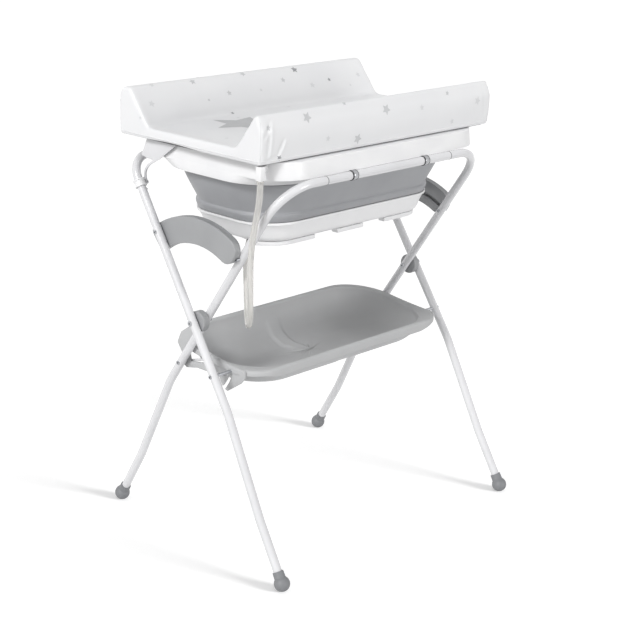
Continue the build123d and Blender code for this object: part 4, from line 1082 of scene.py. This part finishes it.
mat.data.materials.clear()
mat.data.materials.append(finishes["mat_cover"])
mat.data.materials.append(finish(
    "coated_panel", (0.79, 0.795, 0.805), (0.76, 0.765, 0.78), (0.30, 0.42), **cover_look,
))
for polygon in mat.data.polygons:
    if polygon.normal.z > 0.7 and in_panel(polygon.center):
        polygon.material_index = 1
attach(mat, "changer")
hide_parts("changer_mat")
mat_tree = BVHTree.FromPolygons(
    [vertex.co.copy() for vertex in mat.data.vertices],
    [tuple(polygon.vertices) for polygon in mat.data.polygons],
)
print("mat has", len(mat.data.polygons), "faces")

# %% [markdown]
# Welds of the cover: a narrow bead runs round the mat just above the board, and one climbs each
# upright corner. Modelled as thin tubes laid half into the surface, they catch the light as a
# pressed weld does. Their points are found on the finished mat, so they follow its swelling.

# %% Welds of the mat cover
weld_radius, corner_weld_radius = 1.3 * mm, 1.04 * mm
weld_height = 8.0 * mm
weld_corner = 3.0 * mm
weld_steps = 18
front_weld_drop, back_weld_drop = 10.0 * mm, 26.0 * mm


def on_mat(place):
    """The nearest point on the mat's surface."""
    return mat_tree.find_nearest(place)[0]


def bottom_weld():
    """Points of the bead that runs round the mat."""
    middle = Vector((0, (mat_front + mat_back) / 2, 0))
    ring = outline(
        mat_end, (mat_back - mat_front) / 2, weld_corner, mat_bottom + weld_height,
        corner_steps=3, side_steps=60,
    )
    points = [on_mat(place + middle) for place in ring]
    return points + points[:1]


def corner_weld(side, front):
    """Points of the bead that climbs an upright corner."""
    y = mat_front if front else mat_back
    top = mat_top - (front_weld_drop if front else back_weld_drop)
    points = []
    for step in range(weld_steps + 1):
        height = between(mat_bottom + weld_height, top, step / weld_steps)
        points.append(on_mat(Vector((side * mat_end, y, height))))
    return points


welds = [tube_along("weld_round_bottom", bottom_weld(), weld_radius, 8)]
for side, side_name in ((-1, "left"), (1, "right")):
    for front, place_name in ((True, "front"), (False, "back")):
        name = "weld_" + place_name + "_" + side_name
        welds.append(tube_along(name, corner_weld(side, front), corner_weld_radius, 8))
for weld_piece in welds:
    weld_piece.data.materials.append(finishes["mat_cover"])
    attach(weld_piece, "changer")
print("welds", len(welds))

# %% [markdown]
# Small grey stars are printed on the cover. A printed mark has no thickness to speak of, so each
# star is a tiny sheet laid on the surface a hair above it. Those that the photograph shows are
# found by a ray from the camera through their pixel, and the sides it doesn't show get others.

# %% Inks of the stars
def ink(name, color, shade, cloud=90.0):
    """A printed colour with the cover's fine relief under it."""
    return finish(
        name, color, shade, (0.32, 0.44),
        grain=1100.0, wave=55.0, wave_share=0.55, bump=0.15, height=0.0002, cloud=cloud,
    )


star_finish = ink("star_print", (0.585, 0.590, 0.600), (0.54, 0.545, 0.555))
faint_star_finish = ink("faint_star_print", (0.69, 0.695, 0.705), (0.65, 0.655, 0.665))
panel_star_finish = ink(
    "panel_star_print", (0.455, 0.460, 0.470), (0.425, 0.430, 0.440), cloud=40.0,
)
dark_star_finish = ink("dark_star_print", (0.33, 0.335, 0.345), (0.29, 0.295, 0.305))
print("star inks ready")

# %% Places of the stars
# Pixel of each star in the photograph, its radius in millimetres and its turn in degrees.
star_pixels = [
    (192.5, 81.6, 6.6, 40), (209.0, 100.0, 3.2, 5), (229.2, 93.0, 5.6, 30),
    (242.5, 73.8, 6.4, 60), (283.0, 80.0, 5.8, 15), (238.1, 117.8, 3.6, 22),
    (288.9, 106.9, 3.8, 44), (344.0, 103.3, 4.6, 36), (268.1, 128.0, 5.4, 26),
    (307.0, 117.5, 9.8, 8), (386.3, 109.4, 9.8, 4), (357.6, 138.8, 9.4, 12),
    (447.2, 93.1, 4.6, 20),
]
faint_star_pixels = [
    (151.6, 103.7, 6.6, 12), (151.6, 85.0, 5.4, 48), (140.3, 117.8, 3.6, 50),
    (261.1, 90.0, 3.6, 20), (226.8, 138.2, 4.2, 8), (421.9, 107.6, 5.6, 33),
    (477.4, 100.8, 8.2, 16), (451.9, 121.3, 5.6, 52), (328.1, 138.6, 5.4, 28),
    (312.4, 85.0, 6.4, 18), (350.3, 84.9, 3.0, 0), (357.9, 74.6, 6.0, 42),
]
dark_star_pixels = [
    (294.2, 69.6, 7.6, 24), (232.6, 113.2, 4.0, 12), (329.1, 79.5, 4.2, 35),
    (279.3, 158.1, 5.2, 10),
]
star_growth = 1.3


def seen_places(pixels):
    """Point, normal, radius and turn of each star that the photograph shows."""
    places = []
    for pixel_x, pixel_y, radius, turn_degrees in pixels:
        spot, normal, _, _ = mat_tree.ray_cast(camera_place, sight_line(pixel_x, pixel_y))
        if spot is None:
            print("no mat at pixel", pixel_x, pixel_y)
            continue
        places.append((spot, normal, radius * star_growth * mm, turn_degrees))
    return places


print("stars seen", len(star_pixels) + len(faint_star_pixels) + len(dark_star_pixels))

# %% Stars out of the photograph's sight
star_spacing = 48.0 * mm
hidden_radii = (4.2, 6.0, 7.0, 11.4)
above_edge, least_upward = 14.0 * mm, -0.1
in_sight = 5.0 * mm
most_tries = 4000


def hidden_places(count, seed):
    """Stars on the sides that the photograph doesn't show, well apart from each other."""
    rolls = random.Random(seed)
    places = []
    for _ in range(most_tries):
        if len(places) == count:
            break
        start = Vector((
            rolls.uniform(-0.35, 0.35), rolls.uniform(-0.19, 0.23), rolls.uniform(0.91, 0.99),
        ))
        way = Vector((
            rolls.uniform(-0.3, 1), rolls.uniform(-0.3, 1), rolls.uniform(0.0, 0.9),
        )).normalized()
        spot, normal, _, _ = mat_tree.ray_cast(start + way * 0.6, -way)
        if spot is None or spot.z < mat_bottom + above_edge or normal.z < least_upward:
            continue
        hit, _, _, _ = mat_tree.ray_cast(camera_place, (spot - camera_place).normalized())
        if (hit - spot).length < in_sight:
            continue
        if all((spot - other[0]).length > star_spacing for other in places):
            radius = rolls.choice(hidden_radii) * mm
            places.append((spot, normal, radius, rolls.uniform(0, 72)))
    return places


star_places = seen_places(star_pixels) + hidden_places(34, 5)
faint_star_places = seen_places(faint_star_pixels) + hidden_places(20, 9)
dark_star_places = seen_places(dark_star_pixels)
print("star places", len(star_places), len(faint_star_places), len(dark_star_places))

# %% Printed stars
star_waist = 0.50
print_lift = 0.25 * mm
# A five-pointed star has ten corners, by turns at the full radius and at the waist.
tips = 10


def star_sheet(centre, normal, radius, turn_degrees):
    """Vertices and faces of a star laid on the mat about a point of it."""
    across = normal.cross(Vector((0, 0, 1)))
    if across.length < 0.2:
        across = Vector((1, 0, 0))
    across.normalize()
    up = across.cross(normal).normalized() * -1
    vertices = [centre]
    for ring_share in (0.5, 1.0):
        for tip in range(tips):
            angle = radians(turn_degrees + 90 + 36 * tip)
            reach = radius * ring_share * (1.0 if tip % 2 == 0 else star_waist)
            vertices.append(centre + (across * cos(angle) + up * sin(angle)) * reach)
    laid = []
    for place in vertices:
        spot, surface_normal, _, _ = mat_tree.find_nearest(place)
        laid.append(spot + surface_normal * print_lift)
    faces = []
    for tip in range(tips):
        after = (tip + 1) % tips
        faces.append((0, 1 + tip, 1 + after))
        faces.append((1 + tip, 1 + tips + tip, 1 + tips + after, 1 + after))
    return laid, faces


def print_stars(name, places, material):
    """One thin piece that holds every star of a list of (point, normal, radius, turn)."""
    vertices, faces = [], []
    for centre, normal, radius, turn_degrees in places:
        laid, star_faces = star_sheet(centre, normal, radius, turn_degrees)
        faces += [tuple(i + len(vertices) for i in face) for face in star_faces]
        vertices += laid
    piece = new_piece(name, vertices, faces)
    piece.data.materials.append(material)
    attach(piece, "changer")
    return piece


stars = print_stars("printed_stars", star_places, star_finish)
faint_stars = print_stars("faint_printed_stars", faint_star_places, faint_star_finish)
dark_stars = print_stars("dark_printed_stars", dark_star_places, dark_star_finish)
star_pieces = (stars, faint_stars, dark_stars)
print("stars", [len(piece.data.vertices) // (1 + 2 * tips) for piece in star_pieces])

# %% [markdown]
# One large plain star lies on the panel, half hidden by the front bolster. Only its left tip and
# its back show in the photograph, so it is placed from that tip: the sight line through the tip's
# pixel meets the pad's height, and the centre lies one radius to the right of it.

# %% Large printed star on the panel
big_star_radius, big_star_turn = 78.0 * mm, 92
tip_to_centre = Vector((big_star_radius, -14.0 * mm, 0))
tip_line = sight_line(213.0, 128.6)
tip_place = camera_place + tip_line * ((pad_top - camera_place.z) / tip_line.z)
big_star_centre = on_mat(tip_place + tip_to_centre)
print_stars(
    "large_printed_star",
    [(big_star_centre, Vector((0, 0, 1)), big_star_radius, big_star_turn)], panel_star_finish,
)
print("large star at", [round(value, 3) for value in big_star_centre])

# %% [markdown]
# Beside each bright ring on the front rail the joint reads as a black gap from a step away. That
# gap is painted shade: a short dark band, turned from a profile, stands in for its shadow. A thin
# dark band at each end of the rail's middle length is painted shade in its joint in the same way.

# %% Painted shade beside the rail rings
rail_low, rail_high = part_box("front_rail")
rings_low, rings_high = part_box("rail_rings")
rail_centre = (rail_low + rail_high) / 2
rail_radius = (rail_high.z - rail_low.z) / 2
ring_radius = (rings_high.z - rings_low.z) / 2
ring_length = 12.0 * mm
outer_width, inner_width, shade_band_chamfer = 3.2 * mm, 1.2 * mm, 0.4 * mm
shade_band_bore = rail_radius + 0.05 * mm
shade_band_side, shade_band_top = ring_radius - 0.2 * mm, ring_radius + 0.3 * mm


def shade_turning(name, profile, start, body, axis=(1, 0, 0)):
    """A turned piece of dark plastic that paints shade, riding on a body."""
    piece = lathe(name, profile, start, axis)
    piece.data.materials.append(finishes["dark_plastic"])
    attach(piece, body)


for side, side_name in ((-1, "left"), (1, "right")):
    ring_start = rings_low.x if side < 0 else rings_high.x - ring_length
    # Each dark band is painted shade for the gap beside a ring.
    for shade_band_name, width, start in (
        ("outer", outer_width, ring_start - outer_width),
        ("inner", inner_width, ring_start + ring_length),
    ):
        shade_turning(
            "ring_shade_band_" + shade_band_name + "_" + side_name,
            [(0.0, shade_band_bore), (0.0, shade_band_side), (shade_band_chamfer, shade_band_top),
             (width - shade_band_chamfer, shade_band_top), (width, shade_band_side), (width, shade_band_bore)],
            (start, rail_centre.y, rail_centre.z), "inner_frame",
        )
print("shade bands at rail radius", round(rail_radius, 4))

# %% Painted shade in the joints of the front rail
seam_width = 1.3 * mm
seam_inside, seam_outside = rail_radius - 0.2 * mm, rail_radius + 0.25 * mm
# A thin dark band at each joint is painted shade in the joint's narrow gap.
for side, side_name in ((-1, "left"), (1, "right")):
    shade_turning(
        "rail_seam_shade_" + side_name,
        [(0.0, seam_inside), (0.0, seam_outside), (seam_width, seam_outside),
         (seam_width, seam_inside)],
        (side * rail_high.x - seam_width / 2, rail_centre.y, rail_centre.z), "inner_frame",
    )
print("seams at", round(rail_high.x, 4))

# %% [markdown]
# The rivets that hold the legs are hollow, and each head's hole is painted shade: a shallow dark
# disc stands in for the shadow inside. A node holds several pins in one mesh. Growing outwards
# from face to face splits it into its pins, and the end faces of a pin, which look along X, say
# where its two holes sit.

# %% Ends of the pins
join_distance, flat_distance = 0.01 * mm, 0.05 * mm


def pin_ends(node_name):
    """Centre and side of each flat pin end that looks along X in a node."""
    net = bmesh.new()
    net.from_mesh(nodes[node_name].data)
    bmesh.ops.remove_doubles(net, verts=net.verts, dist=join_distance)
    net.verts.ensure_lookup_table()
    unseen, ends = set(net.verts), []
    while unseen:
        pin, front_line = [], [unseen.pop()]
        while front_line:
            here = front_line.pop()
            pin.append(here.co.copy())
            for edge in here.link_edges:
                other = edge.other_vert(here)
                if other in unseen:
                    unseen.remove(other)
                    front_line.append(other)
        for side in (-1, 1):
            end_x = max(place.x * side for place in pin) * side
            ring = [place for place in pin if abs(place.x - end_x) < flat_distance]
            ends.append((sum(ring, Vector()) / len(ring), side))
    net.free()
    return ends


print("ends of the hub rivets", len(pin_ends("hub_rivets")))

# %% Painted shade in the hollow rivets
# Each hole is a shallow dark disc: painted shade for the hollow inside the rivet.
hole_radius, hole_depth = 1.9 * mm, 0.12 * mm
hole_profile = [
    (0.0, 0.05 * mm), (hole_depth, 0.1 * mm), (hole_depth, hole_radius * 0.8), (0.0, hole_radius),
]
hole_hosts = {
    "hub_rivets": "outer_frame", "arc_bolts": "outer_frame", "tray_hook_pins": "outer_frame",
    "tray_pivot_pins": "inner_frame", "guide_pins": "inner_frame",
}
hole_count = 0
for node_name, body in hole_hosts.items():
    for centre, side in pin_ends(node_name):
        hole_count += 1
        shade_turning("rivet_hole_shade_%02d" % hole_count, hole_profile, centre, body, (side, 0, 0))
print("rivet holes", hole_count)

# %% [markdown]
# The studio. The table stands on a white floor in front of white. The floor takes the shadows of
# the legs, but shows white to the camera: its own light is added only for camera and mirror rays,
# through Light Path, so no extra light reaches the table. The world does the same with its level.

# %% Floor
floor_half = 12.0
floor_glow = 0.40
floor = new_piece(
    "floor",
    [(-floor_half, -floor_half, 0), (floor_half, -floor_half, 0), (floor_half, floor_half, 0),
     (-floor_half, floor_half, 0)],
    [(0, 1, 2, 3)],
)


def math_node(tree, operation, *terms):
    """The result of a math node; each term is a socket to link or a plain number."""
    node = tree.nodes.new("ShaderNodeMath")
    node.operation = operation
    for socket, term in zip(node.inputs, terms):
        if isinstance(term, float):
            socket.default_value = term
        else:
            tree.links.new(term, socket)
    return node.outputs["Value"]


floor_finish = bpy.data.materials.new("studio_floor")
floor_finish.use_nodes = True
floor_tree = floor_finish.node_tree
floor_shader = floor_tree.nodes["Principled BSDF"]
floor_shader.inputs["Base Color"].default_value = (0.80, 0.80, 0.80, 1)
floor_shader.inputs["Roughness"].default_value = 0.9
floor_shader.inputs["Specular IOR Level"].default_value = 0.1
floor_shader.inputs["Emission Color"].default_value = (1, 1, 1, 1)
rays = floor_tree.nodes.new("ShaderNodeLightPath").outputs
seen = math_node(floor_tree, "MAXIMUM", rays["Is Camera Ray"], rays["Is Glossy Ray"])
glow = math_node(floor_tree, "MULTIPLY", seen, floor_glow)
floor_tree.links.new(glow, floor_shader.inputs["Emission Strength"])
floor.data.materials.append(floor_finish)
print("floor", 2 * floor_half, "m wide")

# %% World
world_light, world_white = 0.46, 1.0
world = bpy.data.worlds.new("studio")
bpy.context.scene.world = world
world.use_nodes = True
world_tree = world.node_tree
background = world_tree.nodes["Background"]
background.inputs["Color"].default_value = (1, 1, 1, 1)
rays = world_tree.nodes.new("ShaderNodeLightPath").outputs
seen = math_node(world_tree, "MAXIMUM", rays["Is Camera Ray"], rays["Is Glossy Ray"])
seen_through = math_node(world_tree, "MAXIMUM", seen, rays["Is Transmission Ray"])
world_level = world_tree.nodes.new("ShaderNodeMix")
world_level.inputs["A"].default_value = world_light
world_level.inputs["B"].default_value = world_white
world_tree.links.new(seen_through, world_level.inputs["Factor"])
world_tree.links.new(world_level.outputs["Result"], background.inputs["Strength"])
print("world level", world_light)

# %% [markdown]
# The lamps. A soft sun from the left, above, models the shapes. A weaker one from low on the left
# lights the bath's and the mat's left end, and one from low in front fills the long side. The
# photograph's floor shows only the legs' shadows, so a fourth sun lights only the floor and only
# the legs and feet block it. Light linking does that: each lamp has a collection of receivers,
# and may have one of blockers.

# %% Who is lit and who casts a shadow
shadow_names = (
    "inner_leg_left", "inner_leg_right", "outer_leg_left", "outer_leg_right", *foot_names,
)
not_on_floor = bpy.data.collections.new("not_on_floor")
not_on_floor.objects.link(floor)
not_on_floor.collection_objects[0].light_linking.link_state = "EXCLUDE"
only_floor = bpy.data.collections.new("only_floor")
only_floor.objects.link(floor)
shadow_makers = bpy.data.collections.new("shadow_makers")
for name in shadow_names:
    shadow_makers.objects.link(nodes[name])

# %% Suns
def add_sun(name, energy, spread, direction):
    """A soft sun that shines along a direction, on everything but the floor."""
    data = bpy.data.lights.new(name, "SUN")
    data.energy = energy
    data.angle = radians(spread)
    lamp = bpy.data.objects.new(name, data)
    lamp.rotation_mode = "QUATERNION"
    lamp.rotation_quaternion = Vector(direction).to_track_quat("-Z", "Y")
    bpy.context.scene.collection.objects.link(lamp)
    lamp.light_linking.receiver_collection = not_on_floor
    return lamp


add_sun("left", 1.80, 14, (0.80, 0.13, -0.58))
add_sun("low_left", 0.58, 40, (0.98, 0.10, -0.10))
add_sun("front", 1.0, 20, (-0.29, 0.95, -0.10))
floor_sun = add_sun("floor_sun", 3.6, 17, (-0.30, 0.92, -0.33))
floor_sun.light_linking.receiver_collection = only_floor
floor_sun.light_linking.blocker_collection = shadow_makers
bpy.context.scene.view_settings.view_transform = "Standard"
print("suns", [light.name for light in bpy.data.lights])
